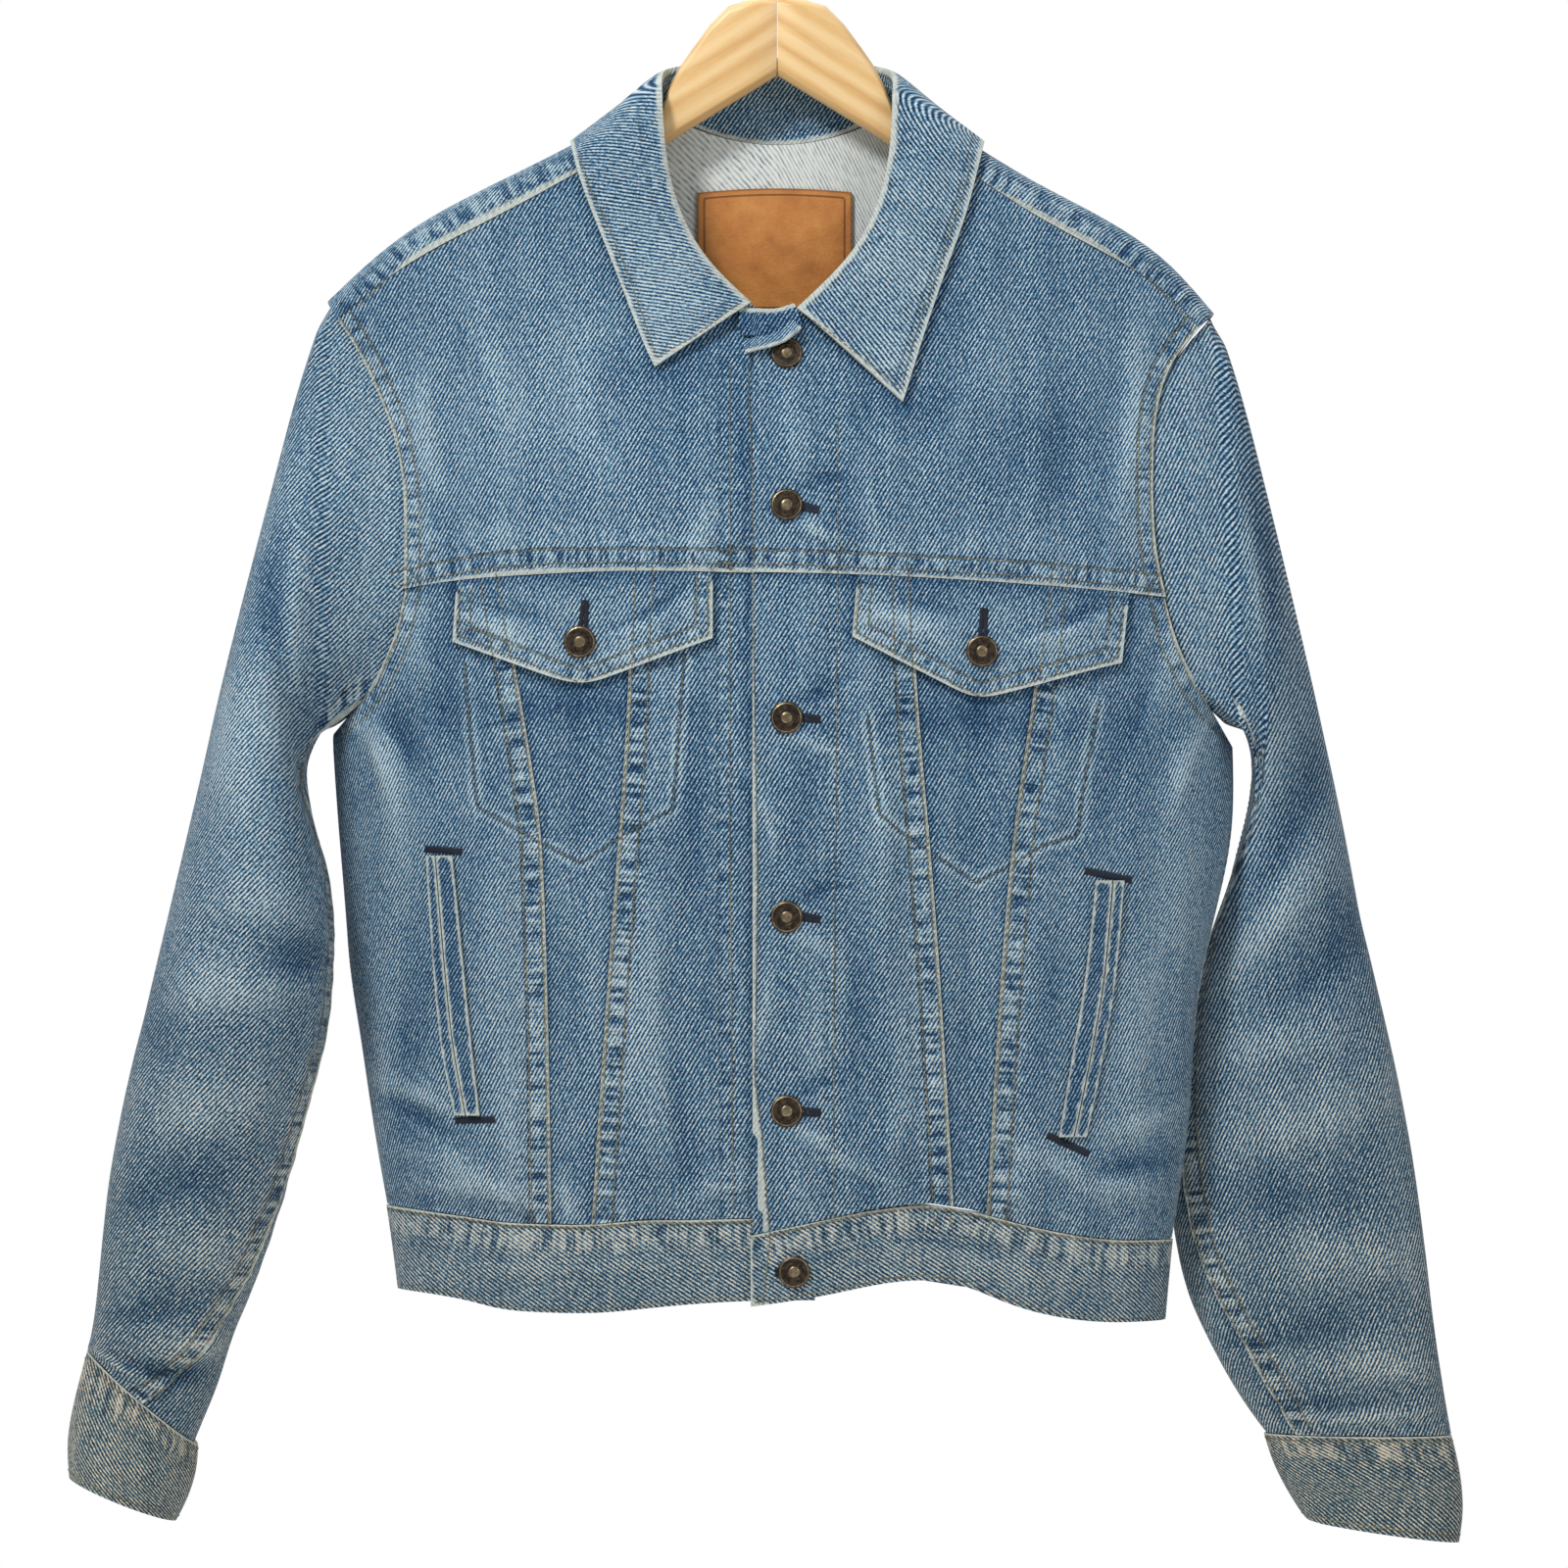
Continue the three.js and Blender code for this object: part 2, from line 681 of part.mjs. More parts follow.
// Back panels below the yoke.
const belowBackYoke = (x) => backYokeSeam(x) - gap;
bodyPanel(
  "back_side_right",
  "denim",
  1,
  {
    midZ: -560,
    left: (z) => (z > form.underarm ? backArmhole(-1, z) + gap : rightSide(z)),
    right: (z) => -backSeam(z) - gap / 2,
    top: belowBackYoke,
    bottom: (x) => backBand(x, 0) + 2 * gap,
  },
  { rows: 13, columns: 6 },
);
bodyPanel(
  "back_centre",
  "denim",
  1,
  {
    midZ: -560,
    left: (z) => -backSeam(z) + gap / 2,
    right: (z) => backSeam(z) - gap / 2,
    top: belowBackYoke,
    bottom: (x) => backBand(x, 0) + 2 * gap,
  },
  { rows: 13, columns: 6 },
  { startSeam: cloth.feltSeamWidth, endSeam: cloth.feltSeamWidth },
);
bodyPanel(
  "back_side_left",
  "denim",
  1,
  {
    midZ: -560,
    left: (z) => backSeam(z) + gap / 2,
    right: (z) => (z > form.underarm ? backArmhole(1, z) - gap : leftSide(z)),
    top: belowBackYoke,
    bottom: (x) => backBand(x, 0) + 2 * gap,
  },
  { rows: 13, columns: 6 },
);

// Waistband in three lengths: the two fronts and the back.
bodyPanel(
  "waistband_right",
  "wornDenim",
  -1,
  {
    midZ: -740,
    left: (z) => rightSide(z),
    right: () => closure.rightEdge,
    top: bandTopRight,
    bottom: bandEndRight,
  },
  { rows: 3, columns: 14 },
  { ply: () => cloth.band - 0.6, raise: 0.6 },
);
bodyPanel(
  "waistband_left",
  "wornDenim",
  -1,
  {
    midZ: -740,
    left: () => closure.leftEdge - 1,
    right: (z) => leftSide(z),
    top: bandTopLeft,
    bottom: bandEndLeft,
  },
  { rows: 3, columns: 14 },
  { ply: () => cloth.band - 0.6, raise: 0.6, lift: liftOfLeft },
);
bodyPanel(
  "waistband_back",
  "wornDenim",
  1,
  {
    midZ: -740,
    left: (z) => rightSide(z),
    right: (z) => leftSide(z),
    top: (x) => backBand(x, 0),
    bottom: (x) => backBand(x, 1),
  },
  { rows: 3, columns: 22 },
  { ply: () => cloth.band - 0.6, raise: 0.6 },
);

// Sleeves: the first section is the armhole, the last one the cuff seam.
// Columns: outer edge across and height, inner edge across and height, middle plane, half depth.
const sleeveRight = [
  [-240.5, -228, -240, -455, 0, 40],
  [-255, -268, -252, -464, 6, 44],
  [-271, -330, -254, -482, 0, 47],
  [-287, -394, -247, -510, -14, 49],
  [-303, -465, -237, -541, -25, 48],
  [-319, -533, -236, -576, -24, 45],
  [-334, -595, -239, -616, -22, 41],
  [-348, -652, -250, -660, -18, 38],
  [-358.5, -706, -262, -705, -14, 36],
  [-362.5, -751, -277, -750, -10, 34],
  [-366.5, -780, -294, -792, -8, 31],
  [-368.5, -787, -310, -838, -6, 27],
];
const sleeveLeft = [
  [234.5, -236, 244, -456, 0, 40],
  [246, -270, 256, -463, -6, 42],
  [260, -322, 259, -482, 0, 44],
  [275, -380, 253, -512, 12, 45],
  [291, -443, 241, -546, 24, 44],
  [305, -507, 228, -582, 28, 41],
  [318, -569, 218, -621, 30, 37],
  [331, -627, 212, -660, 28, 33],
  [341, -676, 210, -699, 24, 30],
  [347.5, -725, 214, -741, 18, 28],
  [352, -770, 228, -781, 12, 26],
  [357, -808, 249, -818, 8, 24],
  [361.5, -834, 260.5, -833, 6, 22],
];
// The same columns for the cuffs, and the forward droop of each section's front.
const cuffRight = [
  [-368.5, -788.2, -309.5, -839, -6, 27],
  [-375, -812, -310, -853, -6, 29],
  [-380, -836, -315, -868, -7, 31],
  [-378, -856, -321, -879, -8, 31],
];
const cuffLeft = [
  [361.5, -834.7, 260.5, -833.7, 6, 22],
  [366, -852, 264.5, -848, 6, 24],
  [368.5, -874, 272.5, -864, 6, 26],
  [365.5, -892, 283, -880, 6, 26],
];

// Soft folds of a sleeve. Columns: share of the length, angle in degrees (90 is the front),
// share it reaches along, degrees it reaches round, height.
const sleeveFoldsRight = [
  [0.17, 60, 0.07, 26, 4],
  [0.2, 150, 0.06, 22, -4],
  [0.46, 120, 0.03, 40, 3.5],
  [0.5, 110, 0.025, 44, -3.5],
  [0.55, 60, 0.03, 40, 3],
  [0.62, 130, 0.03, 40, -3],
  [0.92, 150, 0.03, 30, -6],
  [0.95, 165, 0.025, 26, 5],
  [0.88, 60, 0.05, 26, 3],
  [0.94, 105, 0.03, 14, -3],
  [0.3, 270, 0.06, 40, 4],
  [0.5, 250, 0.03, 44, -4],
  [0.56, 270, 0.03, 40, 4],
  [0.9, 280, 0.04, 30, -4],
];
const sleeveFoldsLeft = [
  [0.18, 60, 0.07, 26, 4],
  [0.14, 110, 0.06, 14, -4],
  [0.45, 70, 0.03, 40, 3.5],
  [0.49, 60, 0.025, 44, -3],
  [0.6, 110, 0.04, 40, 3],
  [0.9, 45, 0.05, 16, 4],
  [0.93, 70, 0.04, 13, -3.5],
  [0.92, 100, 0.04, 14, 3],
  [0.3, 270, 0.06, 40, 4],
  [0.48, 290, 0.03, 44, -4],
  [0.55, 270, 0.03, 40, 4],
  [0.9, 250, 0.04, 30, -4],
];

function tableCurves(rows) {
  const last = rows.length - 1;
  const columns = rows[0].map((_, column) => curve(rows.map((row, i) => [i / last, row[column]])));
  return (t) => columns.map((value) => value(t));
}

function ellipsePoint(section, turn) {
  const [outX, outZ, inX, inZ, middle, half, droop = 0] = section;
  const along = Math.cos(turn);
  return new THREE.Vector3(
    (outX + inX) / 2 + ((outX - inX) / 2) * along,
    middle - half * Math.sin(turn),
    (outZ + inZ) / 2 + ((outZ - inZ) / 2) * along - droop * Math.max(0, Math.sin(turn)),
  );
}

// The armhole of one side, by the same angle as the sleeve's sections.
function armholePoint(side, turn) {
  const tip = side < 0 ? shoulderTip.right : shoulderTip.left;
  const share = (1 - Math.cos(turn)) / 2;
  const z = mix(ridge(tip), form.underarm, share);
  const face = Math.sin(turn) >= 0 ? -1 : 1;
  const edge = face < 0 ? (side < 0 ? armholeRight(z) : armholeLeft(z)) : backArmhole(side, z);
  const near = mix(edge, tip, Math.pow(1 - share, 24));
  const x = near + side * mix(1.8, 3.6, share) * gap * Math.sqrt(Math.max(0, 1 - Math.pow(2 * share - 1, 8)));
  const point = bodyPoint(face, x, z);
  const rise = 1.5 * gap * Math.pow(Math.abs(2 * share - 1), 8);
  point.z += share > 0.5 ? rise : 0;
  point.x += share < 0.5 ? side * rise : 0;
  return { point, normal: bodyNormal(face, x, z) };
}

const armholeBlend = 0.24;
// Round the armhole up to here the sleeve's wall starts out flush with the body's; at the underarm it doesn't.
const underarmShare = 0.985;
function sleevePoint(side, sections, folds, turn, t) {
  const ellipse = ellipsePoint(sections(t), turn);
  if (t >= armholeBlend) return ellipse;
  const start = ellipsePoint(sections(0), turn);
  const offset = armholePoint(side, turn).point.sub(start);
  return ellipse.addScaledVector(offset, 1 - smooth(t / armholeBlend));
}

function sleeveFold(folds, turn, t) {
  const degrees = (((turn * 180) / Math.PI) % 360 + 360) % 360;
  let height = 0;
  for (const [midT, midTurn, reachT, reachTurn, rise] of folds) {
    const round = ((degrees - midTurn + 540) % 360) - 180;
    const skew = (t - midT) / reachT + round / 90;
    height += rise * Math.exp(-skew * skew - (round / reachTurn) ** 2);
  }
  return height * smooth(t / 0.1) * smooth((1 - t) / 0.04);
}

function sleeveNormal(side, sections, turn, t) {
  const step = 0.004;
  const low = Math.max(0, t - step);
  const high = Math.min(1, t + step);
  const point = (a, b) => sleevePoint(side, sections, null, a, b);
  const along = point(turn, high).sub(point(turn, low));
  const round = point(turn + 0.02, t).sub(point(turn - 0.02, t));
  return along.cross(round).normalize().multiplyScalar(-side);
}

// Draws the columns of a sleeve together towards the shoulder, where the armhole turns most.
function gathered(over) {
  const u = 2 * over - 1;
  return (u * (0.72 + 0.28 * u * u) + 1) / 2;
}

function sleevePanel(name, side, rows, folds, turns, grid, seam) {
  const sections = tableCurves(rows);
  const cells = [];
  for (let row = 0; row <= grid.rows; row += 1) {
    const t = row / grid.rows;
    const [from, to] = turns(t);
    const size = sections(t);
    const girth = (Math.PI * (Math.hypot(size[0] - size[2], size[1] - size[3]) / 2 + size[5])) / 2;
    const perDegree = (girth * 2) / 360;
    const wide = Math.abs(to - from) * perDegree;
    const overs = stationsAlong(wide, grid.columns, 0, seam ? cloth.feltSeamWidth : 0);
    cells.push(
      overs.map((over, column) => {
        const turn = (mix(from, to, seam ? gathered(over) : over) * Math.PI) / 180;
        const point = sleevePoint(side, sections, folds, turn, t);
        const own = sleeveNormal(side, sections, turn, t);
        const start = armholePoint(side, turn).normal;
        const held = (1 - smooth(t / 0.07)) * smooth((underarmShare - (1 - Math.cos(turn)) / 2) / 0.1);
        const normal = own.lerp(start, held).normalize();
        const raised = seam && onSeam(column, overs.length, 0, cloth.feltSeamWidth) ? cloth.feltSeamRaise : 0;
        const fold = sleeveFold(folds, turn, t);
        return {
          outer: point.clone().addScaledVector(normal, fold + raised * smooth(t / 0.05)),
          inner: point.clone().addScaledVector(normal, fold - cloth.ply),
        };
      }),
    );
  }
  addMesh(name, wallFrom(cells), "denim");
}

// Where the two lengthwise seams of each sleeve run, in degrees round it. Columns: share of the length, front, back.
const sleeveSeamsRight = [
  [0, 158, 212],
  [0.3, 172, 222],
  [0.55, 176, 232],
  [0.72, 165, 238],
  [0.86, 143, 242],
  [0.94, 122, 245],
  [1, 95, 245],
];
const sleeveSeamsLeft = [
  [0, 158, 212],
  [0.3, 168, 222],
  [0.55, 158, 232],
  [0.72, 149, 238],
  [0.86, 134, 242],
  [1, 132, 245],
];
const seamGapDegrees = 0.35;
for (const [word, side, rows, folds, seams] of [
  ["right", -1, sleeveRight, sleeveFoldsRight, sleeveSeamsRight],
  ["left", 1, sleeveLeft, sleeveFoldsLeft, sleeveSeamsLeft],
]) {
  const front = curve(seams, 1);
  const back = curve(seams, 2);
  sleevePanel(
    `sleeve_top_${word}`,
    side,
    rows,
    folds,
    (t) => [back(t) - 360 + seamGapDegrees, front(t)],
    { rows: 18, columns: 14 },
    true,
  );
  sleevePanel(
    `sleeve_under_${word}`,
    side,
    rows,
    folds,
    (t) => [front(t) + seamGapDegrees, back(t)],
    { rows: 18, columns: 5 },
    false,
  );
}

// Cuffs: closed bands whose wall is set out from the sleeve's.
function buildCuff(name, rows) {
  const sections = tableCurves(rows);
  const around = 20;
  const bandRows = 3;
  const cells = [];
  for (let row = 0; row <= bandRows; row += 1) {
    const t = row / bandRows;
    const size = sections(t);
    const line = [];
    for (let column = 0; column < around; column += 1) {
      const turn = (column / around) * Math.PI * 2;
      const point = ellipsePoint(size, turn);
      const middle = ellipsePoint(size, turn + Math.PI).add(point).multiplyScalar(0.5);
      const out = point.clone().sub(middle);
      const normal = new THREE.Vector3(
        out.x / (((size[0] - size[2]) / 2) ** 2),
        out.y / (size[5] ** 2),
        out.z / (((size[0] - size[2]) / 2) ** 2),
      ).normalize();
      line.push({
        outer: point.clone().addScaledVector(normal, 0.6),
        inner: point.clone().addScaledVector(normal, 0.6 - cloth.band),
      });
    }
    cells.push(line);
  }
  addMesh(name, wallFrom(cells, true), "wornDenim");
}
buildCuff("cuff_right", cuffRight);
buildCuff("cuff_left", cuffLeft);

// The collar: one folded band. Each section runs from the neck seam up the stand, over the roll and down the fall.
// Front columns: height on the neckline, roll across, roll height, free edge across, free edge height.
const collarFronts = {
  right: [
    [-233, -14.5, -231, -65, -265],
    [-216, -33, -214, -69.5, -256],
    [-196, -46.5, -196, -77, -236],
    [-172, -56.5, -172, -88, -207],
    [-148, -61, -147, -98, -183],
  ],
  left: [
    [-234, 11, -235, 66.5, -284],
    [-216, 32, -215, 71.5, -268],
    [-196, 46, -197, 79, -243],
    [-172, 56.5, -174, 90, -211],
    [-148, 61.5, -147, 101, -182],
  ],
};
// Side and back, on the wearer's left. Columns: neck x y z, roll x y z, middle of the fall x y z, free edge x y z.
const collarBack = [
  [66.5, -15.7, -132, 62, -15, -119, 84, -20, -139, 105.5, -19.6, -163],
  [67.3, -11.8, -125.2, 62.3, -8, -110.5, 85, -12, -127.5, 109, -15.5, -148.8],
  [67.5, 0, -120.3, 62, 2, -106, 85, 1, -122.3, 111, 0, -139.8],
  [64.5, 7.9, -122, 60, 8, -103.5, 85, 13, -125, 109.5, 15, -147.8],
  [63, 10.6, -123, 57, 13, -102.5, 84, 22, -131, 106, 20, -160],
  [46, 16.6, -133.2, 43, 21, -98.5, 66, 28, -136, 84, 20.2, -172],
  [24, 16.9, -140.8, 23, 24, -96.5, 36, 29, -139, 46, 20.5, -177],
  [0, 17, -143.6, 0, 25, -96, 0, 29.5, -140, 0, 20.8, -178],
];
const collarShape = { half: 1, neckOut: 1.5, rollOut: 4.3, fallOut: 5.4, lowOut: 3.7, edgeOut: 2.5, bend: 2.4 };

function collarSection(neck, roll, fall, low, edge, across) {
  const up = roll.clone().sub(neck.clone().add(fall).multiplyScalar(0.5)).normalize();
  const out = across.clone().addScaledVector(up, -across.dot(up)).normalize();
  const bend = collarShape.bend;
  const standTop = roll.clone().addScaledVector(up, -bend).addScaledVector(out, -bend);
  const fallTop = roll.clone().addScaledVector(up, -bend).addScaledVector(out, bend);
  const stand = neck.clone().add(standTop).multiplyScalar(0.5);
  return [neck, stand, standTop, roll, fallTop, fall, low, edge];
}

function frontCollarSection(row, side) {
  const [neckZ, rollX, rollZ, edgeX, edgeZ] = row;
  const lift = (x) => (side > 0 ? liftOfLeft(x) : 0);
  const on = (x, z, out) =>
    bodyPoint(-1, x, z).addScaledVector(bodyNormal(-1, x, z), out + lift(x));
  const fallAt = (share, out) => on(mix(rollX, edgeX, share), mix(rollZ, edgeZ, share), out);
  return collarSection(
    on(side * neckline(neckZ), neckZ, collarShape.neckOut),
    on(rollX, rollZ, collarShape.rollOut),
    fallAt(0.45, collarShape.fallOut),
    fallAt(0.75, collarShape.lowOut),
    fallAt(1, collarShape.edgeOut),
    bodyNormal(-1, rollX, rollZ),
  );
}

function backCollarSection(row, side) {
  const at = (i) => new THREE.Vector3(side * row[i], row[i + 1], row[i + 2]);
  const [neck, roll, fall, edge] = [at(0), at(3), at(6), at(9)];
  const low = fall.clone().add(edge).multiplyScalar(0.5);
  return collarSection(neck, roll, fall, low, edge, fall.clone().sub(neck));
}

function thickened(grid, half) {
  return grid.map((line, r) =>
    line.map((point, c) => {
      const acrossRows = grid[Math.min(r + 1, grid.length - 1)][c].clone().sub(grid[Math.max(r - 1, 0)][c]);
      const acrossColumns = line[Math.min(c + 1, line.length - 1)].clone().sub(line[Math.max(c - 1, 0)]);
      const normal = acrossRows.cross(acrossColumns).normalize();
      return {
        outer: point.clone().addScaledVector(normal, half),
        inner: point.clone().addScaledVector(normal, -half),
      };
    }),
  );
}

const collarSections = [
  ...collarFronts.right.map((row) => frontCollarSection(row, -1)),
  ...collarBack.map((row) => backCollarSection(row, -1)),
  ...collarBack.slice(0, -1).reverse().map((row) => backCollarSection(row, 1)),
  ...collarFronts.left.slice().reverse().map((row) => frontCollarSection(row, 1)),
];
addMesh("collar", wallFrom(thickened(collarSections, collarShape.half)), "wornDenim");

// Pocket flaps. Each hangs from the yoke seam and comes down to a point.
const flapShape = { ply: 1.8, clear: 1.45 };
function flap(name, bandLift, left, right, low) {
  const [pointX, pointZ] = low.point;
  bodyPanel(
    name,
    "denim",
    -1,
    {
      midZ: -395,
      left: curve(left),
      right: curve(right),
      top: (x) => yokeSeam(x) - 0.7,
      bottom: (x) =>
        x < pointX
          ? mix(low.start, pointZ, clamp((x - left[1][1]) / (pointX - left[1][1]), 0, 1))
          : mix(pointZ, low.end, clamp((x - pointX) / (right[1][1] - pointX), 0, 1)),
    },
    { rows: 4, columns: 10 },
    { ply: () => flapShape.ply, raise: flapShape.clear + flapShape.ply, lift: bandLift },
  );
}
flap(
  "flap_right",
  () => 0,
  [[-374, -170], [-440, -173]],
  [[-374, -34], [-440, -34]],
  { point: [-104, -435], start: -410, end: -409 },
);
flap(
  "flap_left",
  liftOfLeft,
  [[-374, 42.5], [-440, 37]],
  [[-374, 187], [-440, 180]],
  { point: [106, -442], start: -407, end: -422 },
);

// Side pockets: a wide welt with a narrow lip beside it.
function welt(name, left, right, ply, out) {
  bodyPanel(
    name,
    "denim",
    -1,
    {
      midZ: (left[0][0] + left[left.length - 1][0]) / 2,
      left: curve(left),
      right: curve(right),
      top: () => left[0][0],
      bottom: () => left[left.length - 1][0],
    },
    { rows: 10, columns: 2 },
    { ply: () => ply, raise: out },
  );
}
const weltShape = { widePly: 1.6, wideOut: 2.7, lipPly: 1.1, lipOut: 2.1 };
welt(
  "welt_wide_right",
  [[-524, -180.5], [-573, -176.5], [-623, -171.5], [-662, -164.5]],
  [[-524, -172], [-573, -167], [-623, -162], [-662, -157.5]],
  weltShape.widePly,
  weltShape.wideOut,
);
welt(
  "welt_lip_right",
  [[-524, -186], [-573, -183], [-623, -178.5], [-662, -171]],
  [[-524, -181.3], [-573, -177.3], [-623, -172.3], [-662, -165.3]],
  weltShape.lipPly,
  weltShape.lipOut,
);
welt(
  "welt_wide_left",
  [[-537, 168.5], [-584, 163.5], [-640, 154.5], [-673, 149]],
  [[-537, 177], [-584, 173], [-640, 163.5], [-673, 156.5]],
  weltShape.widePly,
  weltShape.wideOut,
);
welt(
  "welt_lip_left",
  [[-537, 177.8], [-584, 173.8], [-640, 164.3], [-673, 157.3]],
  [[-537, 183.5], [-584, 179.5], [-640, 170.5], [-673, 163.5]],
  weltShape.lipPly,
  weltShape.lipOut,
);

// The leather patch inside the back yoke.
const patch = { left: -43, right: 40, top: -166, bottom: -233, arch: 3, thick: 1.3, clear: 0.9 };
bodyPanel(
  "label_patch",
  "leather",
  1,
  {
    midZ: -200,
    left: () => patch.left,
    right: () => patch.right,
    top: (x) => patch.top + patch.arch * Math.cos((x / patch.right) * 1.3) - patch.arch,
    bottom: () => patch.bottom,
  },
  { rows: 4, columns: 6 },
  { ply: () => patch.thick, raise: -(cloth.ply + patch.clear) },
);

// Turned metal buttons: a rim round a sunken face.
// Columns: share of the radius, height above the cloth.
const buttonProfile = [
  [0.78, 0.5],
  [1, 1.5],
  [0.82, 3.4],
  [0.62, 2.9],
];
const buttonShape = { radius: 8.5, sides: 12, crown: 3.2 };

function button(name, place, normal) {
  const side = new THREE.Vector3(1, 0, 0).addScaledVector(normal, -normal.x).normalize();
  const up = normal.clone().cross(side);
  const points = [place.clone().addScaledVector(normal, buttonProfile[0][1])];
  const faces = [];
  for (const [share, height] of buttonProfile) {
    for (let i = 0; i < buttonShape.sides; i += 1) {
      const turn = (i / buttonShape.sides) * Math.PI * 2;
      points.push(
        place
          .clone()
          .addScaledVector(normal, height)
          .addScaledVector(side, Math.cos(turn) * share * buttonShape.radius)
          .addScaledVector(up, Math.sin(turn) * share * buttonShape.radius),
      );
    }
  }
  points.push(place.clone().addScaledVector(normal, buttonShape.crown));
  const n = buttonShape.sides;
  const at = (ring, i) => 1 + ring * n + (i % n);
  for (let i = 0; i < n; i += 1) {
    faces.push([0, at(0, i + 1), at(0, i)]);
    for (let ring = 0; ring < buttonProfile.length - 1; ring += 1) {
      faces.push([at(ring, i), at(ring, i + 1), at(ring + 1, i + 1)], [at(ring, i), at(ring + 1, i + 1), at(ring + 1, i)]);
    }
    faces.push([at(buttonProfile.length - 1, i), at(buttonProfile.length - 1, i + 1), points.length - 1]);
  }
  addMesh(name, solidFrom(points, faces), "bronze");
}

function buttonOnFront(name, x, z, out) {
  const normal = bodyNormal(-1, x, z);
  button(name, bodyPoint(-1, x, z).addScaledVector(normal, out), normal);
}
const frontButtons = [-258, -339, -451, -556, -659, -744];
frontButtons.forEach((z, i) => {
  const onBand = i === frontButtons.length - 1;
  buttonOnFront(`front_button_${i + 1}`, onBand ? 9 : closure.buttonLine, z, closure.lift + (onBand ? 0.7 : 0.05));
});
buttonOnFront("flap_button_right", -104, -411, flapShape.clear + flapShape.ply + 0.4);
buttonOnFront("flap_button_left", 108, -416, flapShape.clear + flapShape.ply + 0.4);

// One button at the back of each cuff, where its ends overlap.
function buttonOnCuff(name, rows) {
  const size = tableCurves(rows)(0.5);
  const place = ellipsePoint(size, (3 * Math.PI) / 2);
  button(name, place.add(new THREE.Vector3(0, 0.7, 0)), new THREE.Vector3(0, 1, 0));
}
buttonOnCuff("cuff_button_right", cuffRight);
buttonOnCuff("cuff_button_left", cuffLeft);

// The wooden hanger: two flat arms that meet in the middle.
// Columns: distance from the middle, height of the top, height of the bottom.
const hangerArm = [
  [0.2, -65, -107],
  [14, -66, -115.5],
  [26, -70, -122.8],
  [36, -80, -129],
  [44, -91, -133.8],
  [51, -101, -138],
  [57, -112, -142],
  [61, -122.5, -144.5],
  [66, -132.6, -147.3],
  [70, -134.4, -149.6],
];
const hanger = { half: 6.5, corner: 3.5, underCloth: 4.2, tip: 213, tipDepth: 19, neckDepth: 23 };

function hangerOutline(side) {
  const rows = hangerArm.map(([x, top, bottom]) => [x, top, bottom]);
  for (const x of [84, 100, 120, 140, 160, 180, 196, 206]) {
    const top = ridge(side * x) - hanger.underCloth;
    const share = (x - 70) / (hanger.tip - 70);
    rows.push([x, top, top - mix(hanger.neckDepth, hanger.tipDepth, share)]);
  }
  const top = ridge(side * hanger.tip) - hanger.underCloth;
  rows.push([hanger.tip, top - 5, top - hanger.tipDepth + 3]);
  return rows;
}

function buildArm(name, side) {
  const { half, corner } = hanger;
  const points = [];
  const faces = [];
  const rows = hangerOutline(side);
  for (const [x, top, bottom] of rows) {
    const ring = [
      [-half, top - corner],
      [-half + corner, top],
      [half - corner, top],
      [half, top - corner],
      [half, bottom + corner],
      [half - corner, bottom],
      [-half + corner, bottom],
      [-half, bottom + corner],
    ];
    for (const [y, z] of ring) points.push(new THREE.Vector3(side * x, y, z));
  }
  const n = 8;
  for (let r = 0; r < rows.length - 1; r += 1) {
    for (let i = 0; i < n; i += 1) {
      const [a, b, c, d] = [r * n + i, r * n + ((i + 1) % n), (r + 1) * n + ((i + 1) % n), (r + 1) * n + i];
      faces.push([a, b, c], [a, c, d]);
    }
  }
  const end = (rows.length - 1) * n;
  for (let i = 1; i < n - 1; i += 1) {
    faces.push([0, i + 1, i], [end, end + i, end + i + 1]);
  }
  addMesh(name, solidFrom(points, faces), "beech");
}
buildArm("hanger_arm_right", -1);
buildArm("hanger_arm_left", 1);

// The hook: a bent wire whose inside top is the origin.
const hook = { wire: 2, bore: 20, stemTop: -50, stemFoot: -64.5, sides: 8 };
function buildHook() {
  const radius = hook.bore + hook.wire;
  const path = [new THREE.Vector3(0, 0, hook.stemFoot), new THREE.Vector3(0, 0, hook.stemTop)];
  const swing = [-62, -40, -20, 0, 20, 40, 60, 75, 90, 105, 120, 140, 160, 180, 195, 208];
  for (const degrees of swing) {
    const turn = (degrees * Math.PI) / 180;
    path.push(new THREE.Vector3(radius * Math.cos(turn), 0, radius * Math.sin(turn) - hook.bore));
  }
  const points = [];
  const faces = [];
  const n = hook.sides;
  path.forEach((point, i) => {
    const ahead = path[Math.min(i + 1, path.length - 1)].clone().sub(path[Math.max(i - 1, 0)]).normalize();
    const across = new THREE.Vector3(0, 1, 0);
    const other = ahead.clone().cross(across);
    for (let k = 0; k < n; k += 1) {
      const turn = (k / n) * Math.PI * 2;
      points.push(
        point
          .clone()
          .addScaledVector(across, Math.cos(turn) * hook.wire)
          .addScaledVector(other, Math.sin(turn) * hook.wire),
      );
    }
  });
  for (let r = 0; r < path.length - 1; r += 1) {
    for (let k = 0; k < n; k += 1) {
      const [a, b, c, d] = [r * n + k, r * n + ((k + 1) % n), (r + 1) * n + ((k + 1) % n), (r + 1) * n + k];
      faces.push([a, b, c], [a, c, d]);
    }
  }
  const end = (path.length - 1) * n;
  for (let k = 1; k < n - 1; k += 1) faces.push([0, k + 1, k], [end, end + k, end + k + 1]);
  addMesh("hanger_hook", solidFrom(points, faces), "steel");
}
buildHook();

export default jacket;
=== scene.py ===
import math
import bpy
import numpy as np
from mathutils import Matrix, Vector
from mathutils.bvhtree import BVHTree
from mathutils.kdtree import KDTree


